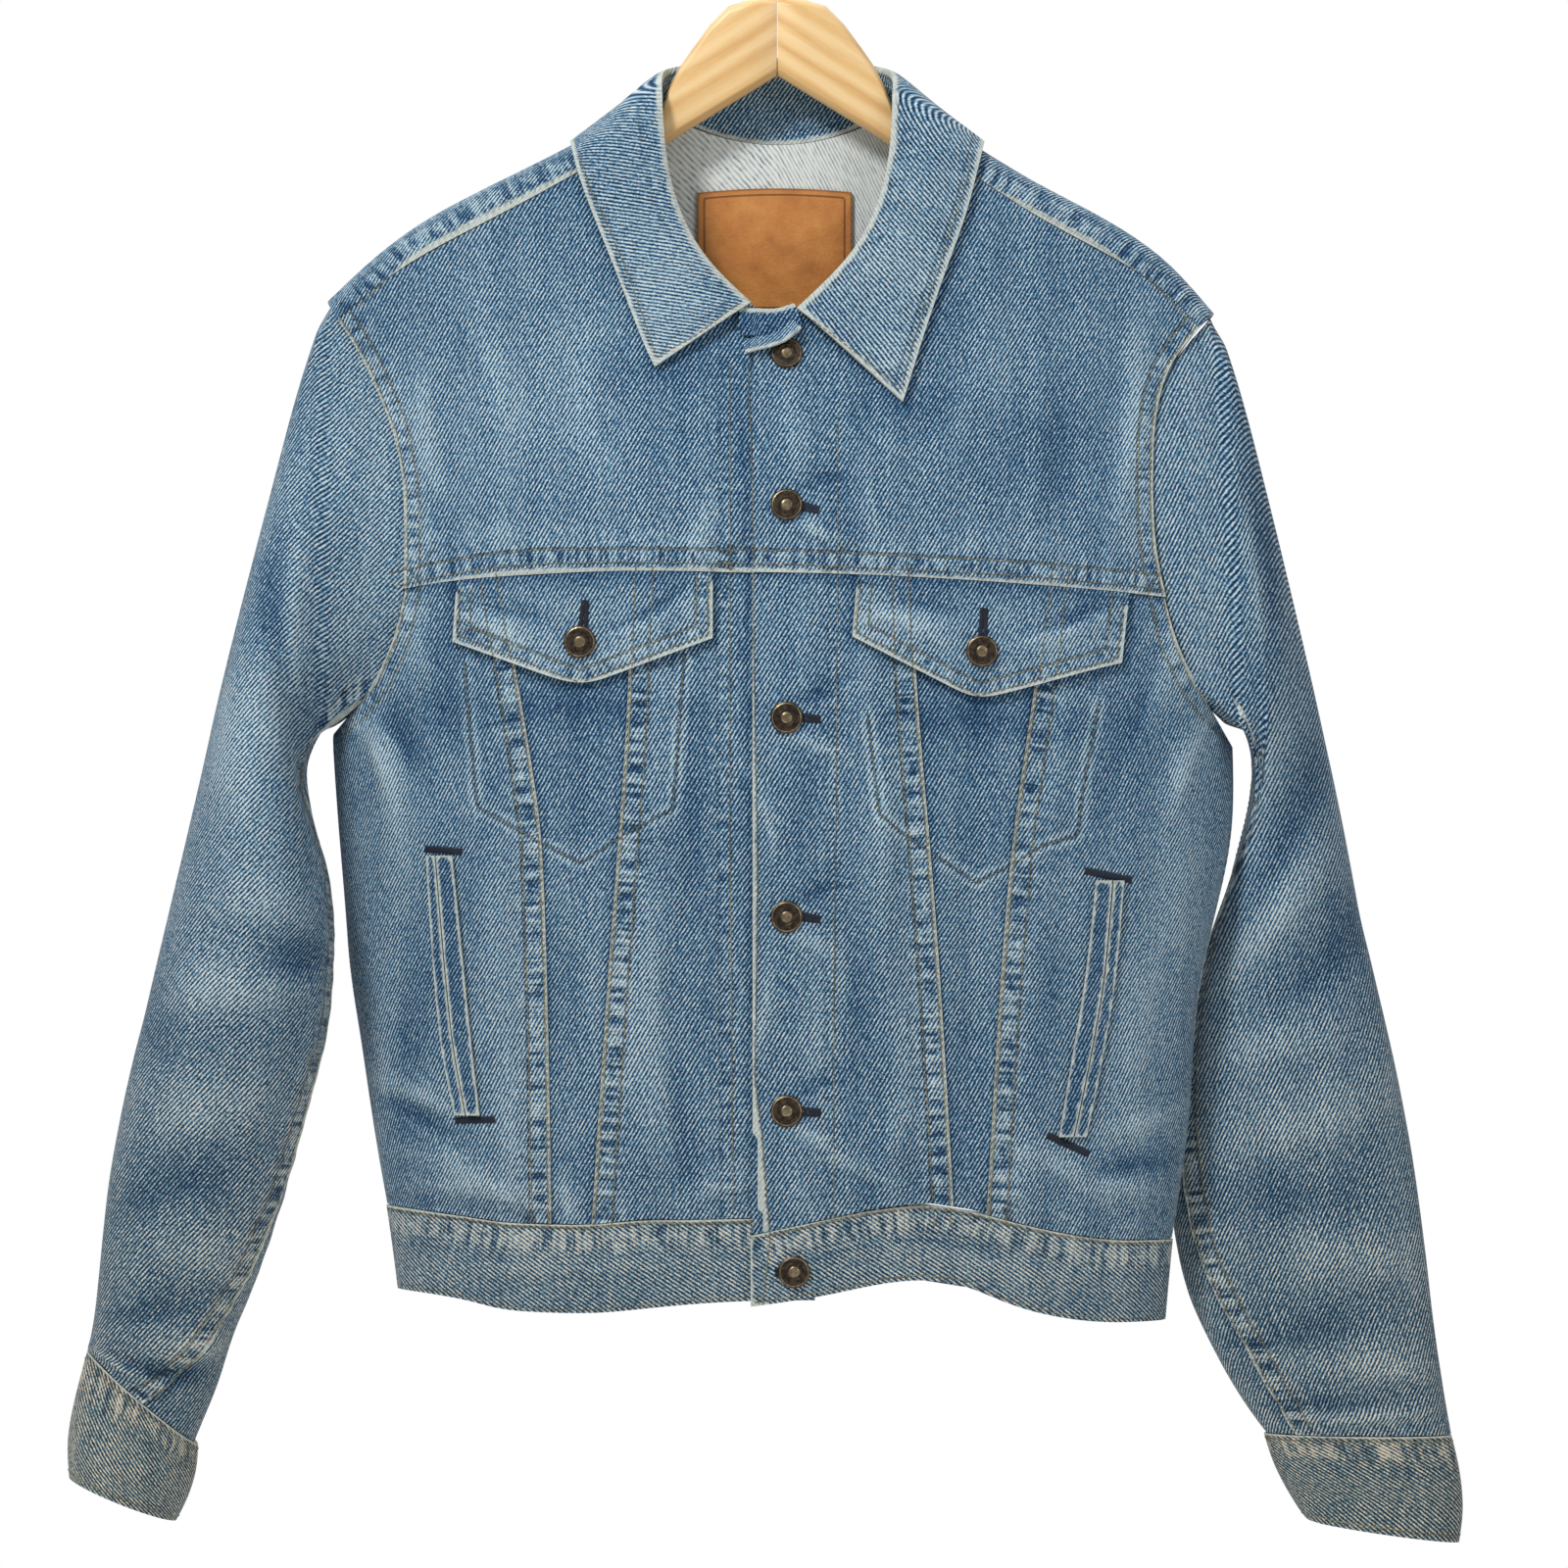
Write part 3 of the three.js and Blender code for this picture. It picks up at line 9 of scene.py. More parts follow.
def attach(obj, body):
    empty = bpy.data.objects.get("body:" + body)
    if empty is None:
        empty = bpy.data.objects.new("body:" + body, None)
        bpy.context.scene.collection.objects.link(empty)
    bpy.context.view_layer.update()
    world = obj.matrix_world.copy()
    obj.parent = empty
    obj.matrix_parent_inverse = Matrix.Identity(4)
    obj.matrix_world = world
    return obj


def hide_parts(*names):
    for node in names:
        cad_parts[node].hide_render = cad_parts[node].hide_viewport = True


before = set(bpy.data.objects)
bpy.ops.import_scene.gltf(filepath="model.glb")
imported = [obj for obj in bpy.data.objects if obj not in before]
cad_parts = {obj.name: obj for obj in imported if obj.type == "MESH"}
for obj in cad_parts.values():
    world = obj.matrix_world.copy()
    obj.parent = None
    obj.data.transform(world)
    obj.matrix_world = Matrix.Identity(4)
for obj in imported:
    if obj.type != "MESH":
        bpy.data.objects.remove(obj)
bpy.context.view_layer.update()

mm = 0.001
print("frame loaded")

# Lines of the jacket in millimetres: across, height, as seen from the front.
seamLines = {
    "yoke": [(-204, -385), (-173, -379), (-151, -375.5), (-128, -373.5), (-83, -373), (-17, -373.5), (33, -375),
             (72, -377), (108, -378.5), (144, -381), (174, -384), (208, -387)],
    "a": [(-148, -370), (-138, -427), (-131, -468), (-124.5, -515), (-121.5, -600), (-119.5, -720)],
    "b": [(-76.5, -370), (-78.5, -427), (-80.5, -468), (-84, -515), (-90.5, -600), (-98.5, -720)],
    "c": [(71, -370), (73.4, -427), (76.4, -468), (80.6, -515), (87, -600), (94, -720)],
    "d": [(144, -370), (137, -427), (131, -468), (124.5, -515), (117.5, -600), (110.5, -720)],
    "armRight": [(-237, -235), (-227, -250), (-218.5, -265), (-212, -280), (-204, -300), (-198.5, -330), (-198, -360),
                 (-198.5, -385), (-204, -410), (-214, -431), (-226, -445), (-239, -455)],
    "armLeft": [(232, -235), (219, -250), (208.5, -265), (203.5, -280), (200.5, -300), (199.7, -330), (201, -360),
                (206, -385), (211.5, -410), (221, -431), (232, -445), (243, -455)],
    "placket": [(-14, -256), (-18, -266), (-16, -303), (-15, -352), (-15, -389), (-14, -451), (-12.5, -538),
                (-14, -642), (-10, -673), (-8, -703), (-6, -725), (-10, -762)],
    "shoulderRight": [(-104, -158), (-153, -182), (-193, -204), (-222, -233)],
    "shoulderLeft": [(104, -164), (144, -184), (174, -201), (202, -223), (220, -242)],
    "bandRight": [(-208, -712), (-168, -716), (-142, -719.5), (-100, -720), (-69, -717), (-38, -717.4), (-9, -716)],
    "bandLeft": [(-7, -724), (36, -714), (56, -710.6), (76, -708.5), (97, -711), (118, -716.5), (149, -724),
                 (180, -728.5), (212, -729)],
    "hemRight": [(-203, -755), (-168, -760), (-142, -766), (-100, -767), (-69, -764), (-38, -761), (-9, -759.5)],
    "hemLeft": [(-12, -762.5), (36, -755), (56, -750), (76, -748), (97, -750.5), (118, -760), (149, -769), (180, -772),
                (207, -771)],
    "bagRight": [(-166, -422), (-159, -498), (-125, -517), (-104, -528), (-83, -514), (-55, -499), (-49, -417)],
    "bagLeft": [(48, -451), (54, -502), (66, -512), (81, -522), (105, -538), (122, -530), (139, -519), (159, -513),
                (162, -488), (170, -444)],
    "topstitch": [(32, -290), (32, -380), (31, -500), (30, -620), (30, -716)],
    "underBand": [(-25, -262), (-25, -380), (-25, -500), (-24, -620), (-23, -716)],
    "backYoke": [(-200, -311), (-120, -306.6), (-60, -304.6), (0, -304), (60, -304.6), (120, -306.6), (202, -311)],
    "backRight": [(-102, -290), (-88, -450), (-72, -600), (-60, -730)],
    "backLeft": [(102, -290), (88, -450), (72, -600), (60, -730)],
    "backArmRight": [(-223, -265), (-209, -300), (-203.5, -330), (-203, -360), (-203.5, -385), (-209, -410),
                     (-219, -431), (-231, -445), (-241, -455)],
    "backArmLeft": [(213.5, -265), (205.5, -300), (204.7, -330), (206, -360), (211, -385), (216.5, -410),
                    (226, -431), (237, -445), (245, -455)],
    "backBand": [(-210, -711.3), (-100, -708.3), (0, -706), (50, -708.9), (100, -715.6), (150, -723), (215, -728.8)],
    "backHem": [(-210, -755.8), (-100, -750.7), (0, -747), (50, -750), (100, -757), (150, -764.8), (215, -770.8)],
    "flapRight": [(-170, -381), (-171.5, -409), (-104, -435), (-34.5, -408.5), (-34, -375)],
    "flapLeft": [(42, -378), (39, -407), (106, -442), (182, -421.5), (186, -386)],
    "collarRight": [(-109, -150), (-103, -170), (-96, -184), (-83.5, -214), (-75.5, -236), (-66, -264), (-42, -251),
                    (-18, -233)],
    "collarLeft": [(107, -152), (104, -166), (91.5, -206), (75.5, -252), (67.5, -282), (50, -268), (28, -251), (11, -238)],
}

# Half width and depth of the body. Columns: height, wearer's right side, left side, depth in front, behind.
bodySections = np.array([
    (-110, -248, 248, 24, 20), (-230, -248, 248, 30, 26), (-300, -248, 248, 42, 36), (-380, -245, 248, 49, 43),
    (-455, -239, 243, 52, 46), (-500, -236, 244, 51, 45), (-560, -231, 233, 49, 44), (-611, -225, 223, 47, 43),
    (-652, -219, 221, 46, 42), (-684, -214, 218, 47, 42), (-718, -208, 212, 42, 38), (-780, -200, 206, 39, 35)])

# Sleeve and cuff sections, shoulder to wrist. Columns: outer edge across, height, inner edge across, height, middle, half depth.
sleeveSections = {
    "right": [(-240.5, -228, -240, -455, 0, 40), (-255, -268, -252, -464, 6, 44), (-271, -330, -254, -482, 0, 47),
              (-287, -394, -247, -510, -14, 49), (-303, -465, -237, -541, -25, 48), (-319, -533, -236, -576, -24, 45),
              (-334, -595, -239, -616, -22, 41), (-348, -652, -250, -660, -18, 38), (-358.5, -706, -262, -705, -14, 36),
              (-362.5, -751, -277, -750, -10, 34), (-366.5, -780, -294, -792, -8, 31), (-368.5, -787, -310, -838, -6, 27)],
    "left": [(234.5, -236, 244, -456, 0, 40), (246, -270, 256, -463, -6, 42), (260, -322, 259, -482, 0, 44),
             (275, -380, 253, -512, 12, 45), (291, -443, 241, -546, 24, 44), (305, -507, 228, -582, 28, 41),
             (318, -569, 218, -621, 30, 37), (331, -627, 212, -660, 28, 33), (341, -676, 210, -699, 24, 30),
             (347.5, -725, 214, -741, 18, 28), (352, -770, 228, -781, 12, 26), (357, -808, 249, -818, 8, 24),
             (361.5, -834, 260.5, -833, 6, 22)],
}
cuffSections = {
    "right": [(-368.5, -788.2, -309.5, -839, -6, 27), (-375, -812, -310, -853, -6, 29), (-380, -836, -315, -868, -7, 31),
              (-378, -856, -321, -879, -8, 31)],
    "left": [(361.5, -834.7, 260.5, -833.7, 6, 22), (366, -852, 264.5, -848, 6, 24), (368.5, -874, 272.5, -864, 6, 26),
             (365.5, -892, 283, -880, 6, 26)],
}
# Where the front and back lengthwise seams of a sleeve run. Columns: share of the length, degrees of each.
sleeveSeams = {
    "right": np.array([(0, 158, 212), (0.3, 172, 222), (0.55, 176, 232), (0.72, 165, 238), (0.86, 143, 242),
                       (0.94, 122, 245), (1, 95, 245)]),
    "left": np.array([(0, 158, 212), (0.3, 168, 222), (0.55, 158, 232), (0.72, 149, 238), (0.86, 134, 242), (1, 132, 245)]),
}

# Creases, listed one by one: across, height, direction across, down, half length, half width, rise, bow.
frontCreases = [
    (-46, -318, 0.1, -1, 46, 6, 1.0, 3), (-96, -300, 0.3, -1, 40, 9, 0.8, -4), (-150, -262, 0.35, -1, 40, 8, 0.9, 3),
    (-186, -300, 0.16, -1, 44, 6, 1.3, -3), (-176, -352, 0.3, -1, 20, 5, -0.8, 2), (60, -312, -0.1, -1, 44, 8, 0.9, -3),
    (104, -276, -0.3, -1, 36, 8, 0.8, 4), (150, -300, -0.1, -1, 44, 7, -0.8, 3), (188, -296, -0.08, -1, 52, 6, 1.5, 2),
    (-190, -420, 0.45, -1, 34, 7, 1.6, -4), (-176, -448, 0.55, -1, 40, 8, -1.2, 4), (-206, -500, 0.12, -1, 50, 8, 1.3, 4),
    (-150, -560, 0.06, -1, 60, 9, 1.0, 4), (-196, -622, -0.1, -1, 46, 8, -1.2, 3), (-140, -672, 0.12, -1, 40, 7, 1.0, -3),
    (-176, -688, 0.9, -0.3, 30, 6, 1.4, 3), (-196, -676, 0.8, -0.5, 22, 6, -1.0, 2), (-66, -620, 0.05, -1, 60, 8, 1.2, -4),
    (-44, -520, -0.06, -1, 54, 7, -0.9, 3), (-58, -440, 0.14, -1, 34, 6, 0.8, -2), (-50, -668, 0.1, -1, 36, 6, -1.0, 2),
    (-106, -470, 0.02, -1, 60, 11, -1.0, 3), (-108, -600, 0.02, -1, 50, 8, -0.8, -2), (46, -424, -0.1, -1, 40, 7, 0.9, 3),
    (56, -520, -0.04, -1, 50, 8, 1.0, -3), (44, -604, 0.06, -1, 44, 7, -1.0, 3), (64, -664, -0.12, -1, 40, 7, 1.1, 3),
    (106, -480, 0.02, -1, 50, 11, -1.0, -3), (100, -610, -0.03, -1, 60, 8, -0.9, 2), (150, -470, -0.1, -1, 40, 8, 0.9, 3),
    (206, -430, -0.3, -1, 40, 7, 1.8, 5), (192, -452, -0.34, -1, 40, 7, -1.2, 4), (214, -540, -0.05, -1, 60, 9, 1.3, -4),
    (140, -600, -0.05, -1, 60, 9, -0.9, 4), (190, -640, -0.06, -1, 50, 9, 1.2, -3), (150, -690, 0.7, -0.4, 28, 6, 1.2, 3),
    (186, -700, 0.9, -0.2, 30, 6, 1.3, -2), (126, -700, -0.2, -1, 22, 5, 0.8, 1), (8, -300, 0.3, -1, 24, 5, 0.7, 2),
    (14, -400, 0.1, -1, 34, 7, 0.6, 2), (16, -506, 0.04, -1, 34, 7, -0.6, -2), (18, -612, 0.02, -1, 34, 7, 0.7, 2),
    (12, -700, 0.1, -1, 24, 6, 0.8, 2), (-120, -742, 1, 0.06, 70, 7, 0.8, 2), (120, -742, 1, -0.1, 70, 7, 0.8, -2),
    (20, -352, 1, -0.5, 13, 3, 0.9, 1), (22, -326, 1, 0.4, 12, 3, -0.8, 1), (20, -466, 1, -0.4, 14, 3, 1.0, 1),
    (22, -437, 1, 0.5, 13, 3, -0.9, -1), (20, -571, 1, -0.5, 14, 3, 0.9, 1), (22, -543, 1, 0.3, 12, 3, -0.8, 1),
    (21, -673, 1, -0.4, 13, 3, 1.0, -1), (20, -646, 1, 0.5, 12, 3, -0.8, 1), (-7, -500, 0.3, -1, 22, 3, 0.8, 1),
    (-8, -610, -0.2, -1, 24, 3, 0.8, 1), (-50, -300, 0.1, -1, 34, 4, -0.9, 2), (-40, -350, -0.3, -1, 20, 4, 1.0, 1),
    (50, -340, 0.2, -1, 28, 4, 0.9, -1), (-150, -404, 1, -0.5, 20, 4, 1.1, 2), (-136, -396, 1, -0.3, 22, 4, -1.0, 2),
    (-70, -402, 1, 0.5, 20, 4, 1.2, -2), (-62, -392, 1, 0.7, 18, 3.5, -1.0, -1), (-84, -420, 1, 0.3, 18, 4, 0.9, 1),
    (70, -402, 1, -0.4, 20, 4, 1.1, 2), (80, -392, 1, -0.2, 20, 4, -0.9, 1), (146, -408, 1, 0.3, 22, 4, 1.2, -2),
    (160, -398, 1, 0.5, 18, 3.5, -1.0, 1), (-198, -650, 1, -0.4, 26, 5, 1.6, 2), (-190, -664, 1, -0.5, 26, 4.5, -1.4, 2),
    (-160, -702, 1, -0.15, 34, 4.5, 1.5, 2), (200, -664, 1, 0.3, 24, 5, 1.4, -2), (186, -690, 1, 0.2, 30, 4.5, -1.3, 2),
    (-214, -470, 0.5, -1, 26, 5, 1.7, 2), (-200, -462, 0.6, -1, 24, 4.5, -1.4, 2), (218, -476, -0.4, -1, 28, 5, 1.6, -2),
    (-30, -700, 1, 0.3, 20, 4, 0.9, 1), (44, -690, 1, -0.4, 18, 4, 1.0, 1), (-112, -706, 0.5, -1, 16, 4, 1.0, 1),
]
backCreases = [
    (-60, -210, 0.7, -0.6, 60, 9, 1.4, 5), (58, -214, -0.7, -0.6, 60, 9, 1.3, -5), (-140, -230, 0.4, -1, 50, 9, 1.2, 4),
    (142, -236, -0.5, -1, 50, 8, 1.2, -4), (0, -262, 1, 0.05, 80, 9, -1.0, 4), (-176, -400, 0.3, -1, 60, 8, 1.8, 5),
    (-152, -430, 0.34, -1, 56, 8, -1.3, 4), (178, -396, -0.3, -1, 60, 8, 1.8, -5), (150, -436, -0.3, -1, 56, 8, -1.2, -4),
    (-36, -400, 0.08, -1, 70, 10, 1.4, 5), (30, -430, -0.06, -1, 80, 10, -1.2, 5), (-20, -560, 0.1, -1, 80, 10, -1.3, -5),
    (40, -620, -0.08, -1, 70, 9, 1.4, 4), (-110, -520, 0.05, -1, 70, 9, 1.3, 4), (120, -530, -0.06, -1, 70, 9, -1.2, 4),
    (-170, -600, -0.05, -1, 60, 9, 1.2, -4), (176, -610, 0.04, -1, 60, 9, 1.3, 4), (-130, -686, 0.95, -0.2, 50, 7, 1.5, 4),
    (-40, -694, 1, 0.1, 60, 7, -1.3, 4), (60, -688, 0.95, 0.2, 60, 7, 1.5, -4), (150, -694, 0.9, -0.2, 44, 7, -1.2, 3),
    (0, -744, 1, 0, 90, 8, 0.8, 2),
]
# Short puckers beside a seam: across, how far they rise. They stand above the yoke seam and the waistband.
yokePuckers = [(-188, 0.5), (-171, -0.4), (-148, 0.6), (-131, -0.5), (-104, 0.4), (-88, -0.5), (-62, 0.5), (-45, -0.4),
               (-27, 0.5), (-4, -0.5), (19, 0.5), (40, -0.4), (63, 0.6), (81, -0.4), (103, 0.5), (127, -0.5), (146, 0.4),
               (168, -0.5), (187, 0.5)]
bandPuckers = [(-196, -0.8), (-181, 0.9), (-163, -0.7), (-149, 0.8), (-131, -0.9), (-112, 0.7), (-97, -0.7), (-81, 0.8),
               (-66, -0.8), (-48, 0.8), (-31, -0.6), (-12, 0.6), (10, -0.6), (31, 0.8), (47, -0.8), (62, 0.7), (80, -0.6),
               (96, 0.9), (110, -0.9), (127, 0.8), (141, -0.8), (158, 0.9), (173, -0.7), (188, 0.8), (200, -0.6)]
# Sleeve creases: share of the length, degrees round (90 is the front), share reached, degrees reached, rise, lean.
sleeveCreases = {
    "right": [(0.12, 100, 0.05, 22, 1.4, 0.4), (0.2, 70, 0.05, 34, -1.3, 0.5), (0.27, 110, 0.05, 40, 1.2, 0.6),
              (0.36, 60, 0.04, 44, 1.2, -0.5), (0.44, 100, 0.025, 44, 1.3, 0.7), (0.48, 130, 0.02, 30, -1.4, 0.8),
              (0.53, 90, 0.025, 44, 1.4, 0.6), (0.58, 40, 0.03, 34, -1.1, -0.6), (0.64, 100, 0.03, 40, 1.1, 0.5),
              (0.72, 70, 0.03, 44, -1.2, 0.6), (0.79, 110, 0.025, 36, 1.2, -0.6), (0.86, 80, 0.02, 40, -1.4, 0.7),
              (0.91, 120, 0.02, 34, 2.0, 0.9), (0.945, 100, 0.015, 34, -2.4, 0.9), (0.97, 60, 0.015, 34, 1.6, 0.6),
              (0.25, 250, 0.05, 40, 1.4, 0.5), (0.42, 280, 0.03, 44, -1.4, 0.6), (0.5, 260, 0.03, 44, 1.5, 0.5),
              (0.62, 300, 0.03, 40, 1.2, -0.5), (0.78, 270, 0.03, 44, -1.3, 0.5), (0.93, 260, 0.02, 40, 1.5, 0.6)],
    "left": [(0.1, 90, 0.05, 22, 1.3, -0.4), (0.19, 60, 0.05, 34, -1.2, -0.5), (0.28, 100, 0.05, 40, 1.3, 0.6),
             (0.38, 70, 0.03, 44, -1.2, -0.6), (0.44, 90, 0.025, 44, 1.4, -0.7), (0.5, 50, 0.025, 44, -1.3, -0.6),
             (0.55, 90, 0.02, 40, 1.1, 0.6), (0.63, 70, 0.03, 44, 1.2, -0.5), (0.7, 100, 0.03, 40, -1.1, 0.6),
             (0.77, 60, 0.025, 36, 1.2, 0.6), (0.84, 100, 0.02, 40, -1.2, -0.7), (0.89, 60, 0.02, 34, 1.4, 0.6),
             (0.93, 110, 0.016, 30, -1.6, 0.8), (0.965, 80, 0.014, 40, 1.4, -0.5), (0.24, 250, 0.05, 40, 1.3, -0.5),
             (0.42, 270, 0.03, 44, 1.4, 0.6), (0.48, 250, 0.03, 44, -1.5, 0.5), (0.6, 290, 0.03, 40, 1.2, 0.5),
             (0.76, 260, 0.03, 44, 1.3, -0.5), (0.92, 280, 0.02, 40, -1.5, 0.6)],
}
# Faded places, and darker places that include painted shadows under the flaps and the collar points: across, height,
# half width, half height, lighter or darker.
frontFadesAndShadows = [
    (-150, -300, 60, 40, 0.12), (-100, -250, 50, 40, 0.16), (130, -300, 60, 50, -0.04), (150, -250, 40, 30, 0.06),
    (-60, -268, 34, 12, -0.22), (66, -286, 30, 11, -0.22), (-104, -446, 70, 9, -0.3), (108, -453, 70, 9, -0.3),
    (-104, -391, 50, 9, 0.12), (108, -396, 50, 9, 0.12), (-186, -440, 26, 40, -0.08), (190, -440, 30, 40, -0.08),
    (-150, -620, 60, 60, 0.06), (160, -600, 60, 60, 0.05), (-60, -640, 34, 60, 0.08), (60, -600, 34, 60, 0.05),
    (-104, -560, 20, 90, 0.1), (104, -570, 20, 90, 0.08), (10, -480, 30, 120, 0.06), (0, -744, 200, 14, 0.02),
    (-190, -700, 30, 24, -0.14), (190, -706, 30, 20, -0.12), (-30, -600, 8, 90, -0.08), (-196, -350, 12, 60, 0.12),
    (194, -350, 12, 60, 0.14), (-140, -354, 50, 7, 0.22), (-70, -356, 30, 6, 0.12), (120, -358, 60, 7, 0.14),
    (-130, -402, 26, 9, 0.12), (-60, -398, 14, 10, -0.14), (70, -404, 16, 9, 0.12), (150, -398, 20, 9, -0.1),
    (-30, -300, 12, 40, -0.12), (46, -320, 10, 60, -0.08), (20, -430, 12, 14, -0.1), (20, -540, 12, 14, -0.1),
    (-60, -690, 30, 14, -0.12), (60, -686, 34, 14, -0.12), (-140, -610, 8, 80, 0.08), (-120, -690, 20, 16, -0.14),
]


def asLine(name):
    return np.array(seamLines[name], dtype=float)


def fromLine(points, line):  # distance left of the line's run, and how far along it
    best = np.full(len(points), 1e9)
    side = np.ones(len(points))
    along = np.zeros(len(points))
    walked = 0.0
    for a, b in zip(line[:-1], line[1:]):
        step = b - a
        length = math.hypot(step[0], step[1])
        share = np.clip(((points - a) @ step) / length**2, 0, 1)
        gap = points - (a + share[:, None] * step)
        away = np.hypot(gap[:, 0], gap[:, 1])
        nearer = away < best
        best = np.where(nearer, away, best)
        side = np.where(nearer, np.sign(step[0] * gap[:, 1] - step[1] * gap[:, 0] + 1e-9), side)
        along = np.where(nearer, walked + share * length, along)
        walked += length
    return best * side, along


def smoothStep(value):
    value = np.clip(value, 0, 1)
    return value * value * (3 - 2 * value)


def creaseHeight(table, x, z, narrow=0.0):  # narrow creases count for more where it is above 0
    height = np.zeros(len(x))
    for midX, midZ, alongX, alongZ, halfLength, halfWidth, rise, bow in table:
        length = math.hypot(alongX, alongZ)
        along = ((x - midX) * alongX + (z - midZ) * alongZ) / length / halfLength
        across = (((x - midX) * alongZ - (z - midZ) * alongX) / length - bow * along**2) / halfWidth
        across = across * (1 + 0.35 * np.tanh(across * np.sign(bow)))  # one flank steeper than the other
        height += rise * (4.0 / halfWidth) ** narrow * np.exp(-along**2 - across**2)
    return height


def puckerHeight(table, x, away, halfWidth, reach):
    height = np.zeros(len(x))
    for place, rise in table:
        height += rise * np.exp(-((x - place - 0.12 * away) / halfWidth) ** 2)
    return height * np.exp(-((away - reach * 0.4) / reach) ** 2)


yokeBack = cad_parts["back_yoke"].data
yokeBackPoints = np.array([v.co[:] for v in yokeBack.vertices]) / mm
ridgeX = np.arange(-236, 233, 8.0)
ridgeZ = np.array([yokeBackPoints[np.abs(yokeBackPoints[:, 0] - x) < 12][:, 2].max() for x in ridgeX])
shoulders = np.abs(ridgeX) > 80
ridgeCurve = np.polyfit(np.abs(ridgeX[shoulders]), ridgeZ[shoulders], 2)


def bodyDisplacement(points):  # how far front and back cloth stand out of the plain form
    x, y, z = points[:, 0], points[:, 1], points[:, 2]
    under = np.interp(x, ridgeX, ridgeZ) - z
    under = np.where(np.abs(x) < 70, np.minimum(under, -128 - z), under)
    low, high = (np.interp(-z, -bodySections[:, 0], bodySections[:, k]) for k in (1, 2))
    share = np.abs(x - (low + high) / 2) / ((high - low) / 2)
    fade = smoothStep((under - 3) / 24) * (1 - smoothStep((share - 0.86) / 0.13))
    flat = np.column_stack([x, z])
    front = 1.8 * creaseHeight(frontCreases, x, z)
    yokeAway, _ = fromLine(flat, asLine("yoke"))
    front += 1.7 * puckerHeight(yokePuckers, x, np.maximum(yokeAway - 12, 0), 3.6, 16) * (yokeAway > -2)
    bandLine = np.vstack([asLine("bandRight"), asLine("bandLeft")])
    bandAway, _ = fromLine(flat, bandLine)
    front += 1.3 * puckerHeight(bandPuckers, x, np.abs(bandAway + 4), 3.8, 11)
    back = 1.8 * creaseHeight(backCreases, x, z)
    backAway, _ = fromLine(flat, asLine("backBand"))
    back += puckerHeight(bandPuckers, -x - 6, np.abs(backAway + 4), 4.2, 11)
    back += 0.8 * puckerHeight(yokePuckers, x + 5, np.maximum(z + 292, 0), 4.5, 14) * (z > -306)
    return front * fade, back * fade


def sleeveCoordinates(points, sections):  # share of the length, degrees, arc lengths, place along, section
    rows = np.array(sections, dtype=float)
    steps = np.linspace(0, 1, 121)
    own = np.linspace(0, 1, len(rows))
    fine = np.array([np.interp(steps, own, rows[:, k]) for k in range(6)]).T
    flat = points[:, [0, 2]]
    outer, inner = fine[:, 0:2], fine[:, 2:4]
    across = inner - outer
    value = (across[None, :, 0] * (flat[:, None, 1] - outer[None, :, 1])
             - across[None, :, 1] * (flat[:, None, 0] - outer[None, :, 0])) / np.hypot(*across.T)[None]
    share = (((flat[:, None, 0] - outer[None, :, 0]) * across[None, :, 0]
              + (flat[:, None, 1] - outer[None, :, 1]) * across[None, :, 1]) / (across**2).sum(axis=1)[None])
    beyond = np.maximum(np.maximum(-share, share - 1), 0) * np.hypot(*across.T)[None]
    rank = np.hypot(value, beyond).argmin(axis=1)
    rank = np.clip(rank, 1, 119)
    index = np.arange(len(points))
    before, after = value[index, rank - 1], value[index, rank + 1]
    lean = np.where(np.abs(after - before) > 1e-6, -before / (after - before + 1e-12), 0.5)
    t = np.interp(rank - 1 + 2 * np.clip(lean, 0, 1), np.arange(121), steps)
    section = np.array([np.interp(t, own, rows[:, k]) for k in range(6)]).T
    middle = (section[:, 0:2] + section[:, 2:4]) / 2
    half = (section[:, 0:2] - section[:, 2:4]) / 2
    reach = np.hypot(half[:, 0], half[:, 1])
    along = ((flat - middle) * half).sum(axis=1) / reach**2
    rise = -(points[:, 1] - section[:, 4]) / section[:, 5]
    degrees = np.degrees(np.arctan2(rise, along)) % 360
    # walk round the ellipse, and along the sleeve's middle
    angle = np.radians(np.arange(0, 721, 5))
    ratio = np.column_stack([reach, section[:, 5]])
    stepLength = np.hypot(ratio[:, :1] * np.sin(angle)[None], ratio[:, 1:] * np.cos(angle)[None]) * math.radians(5)
    walked = np.concatenate([np.zeros((len(points), 1)), np.cumsum(stepLength, axis=1)[:, :-1]], axis=1)
    centre = (rows[:, 0:2] + rows[:, 2:4]) / 2
    length = np.concatenate([[0], np.cumsum(np.hypot(*np.diff(centre, axis=0).T))])
    place = np.interp(t, own, length)
    for line, far, sign in ((0, -1, -1), (-1, 0, 1)):  # beyond the first and last sections
        gap = centre[far] - outer[line]
        inward = np.sign(across[line, 0] * gap[1] - across[line, 1] * gap[0])
        place += sign * np.maximum(-value[:, line] * inward, 0) * (np.abs(t - own[line]) < 0.02)
    return t, degrees, walked, place, section


def walkAt(walked, degrees):
    place = np.clip(degrees / 5.0, 0, 143.99)
    low = place.astype(int)
    index = np.arange(len(walked))
    return walked[index, low] + (place - low) * (walked[index, low + 1] - walked[index, low])


def sleeveHeight(table, t, degrees):
    height = np.zeros(len(t))
    for midT, midTurn, reachT, reachTurn, rise, lean in table:
        turned = (degrees - midTurn + 180) % 360 - 180
        skew = (t - midT) / reachT + lean * turned / 45
        skew = skew * (1 + 0.3 * np.tanh(skew))
        height += 1.5 * rise * np.exp(-skew**2 - (turned / reachTurn) ** 2)
    return height * smoothStep(t / 0.1) * smoothStep((1 - t) / 0.03)


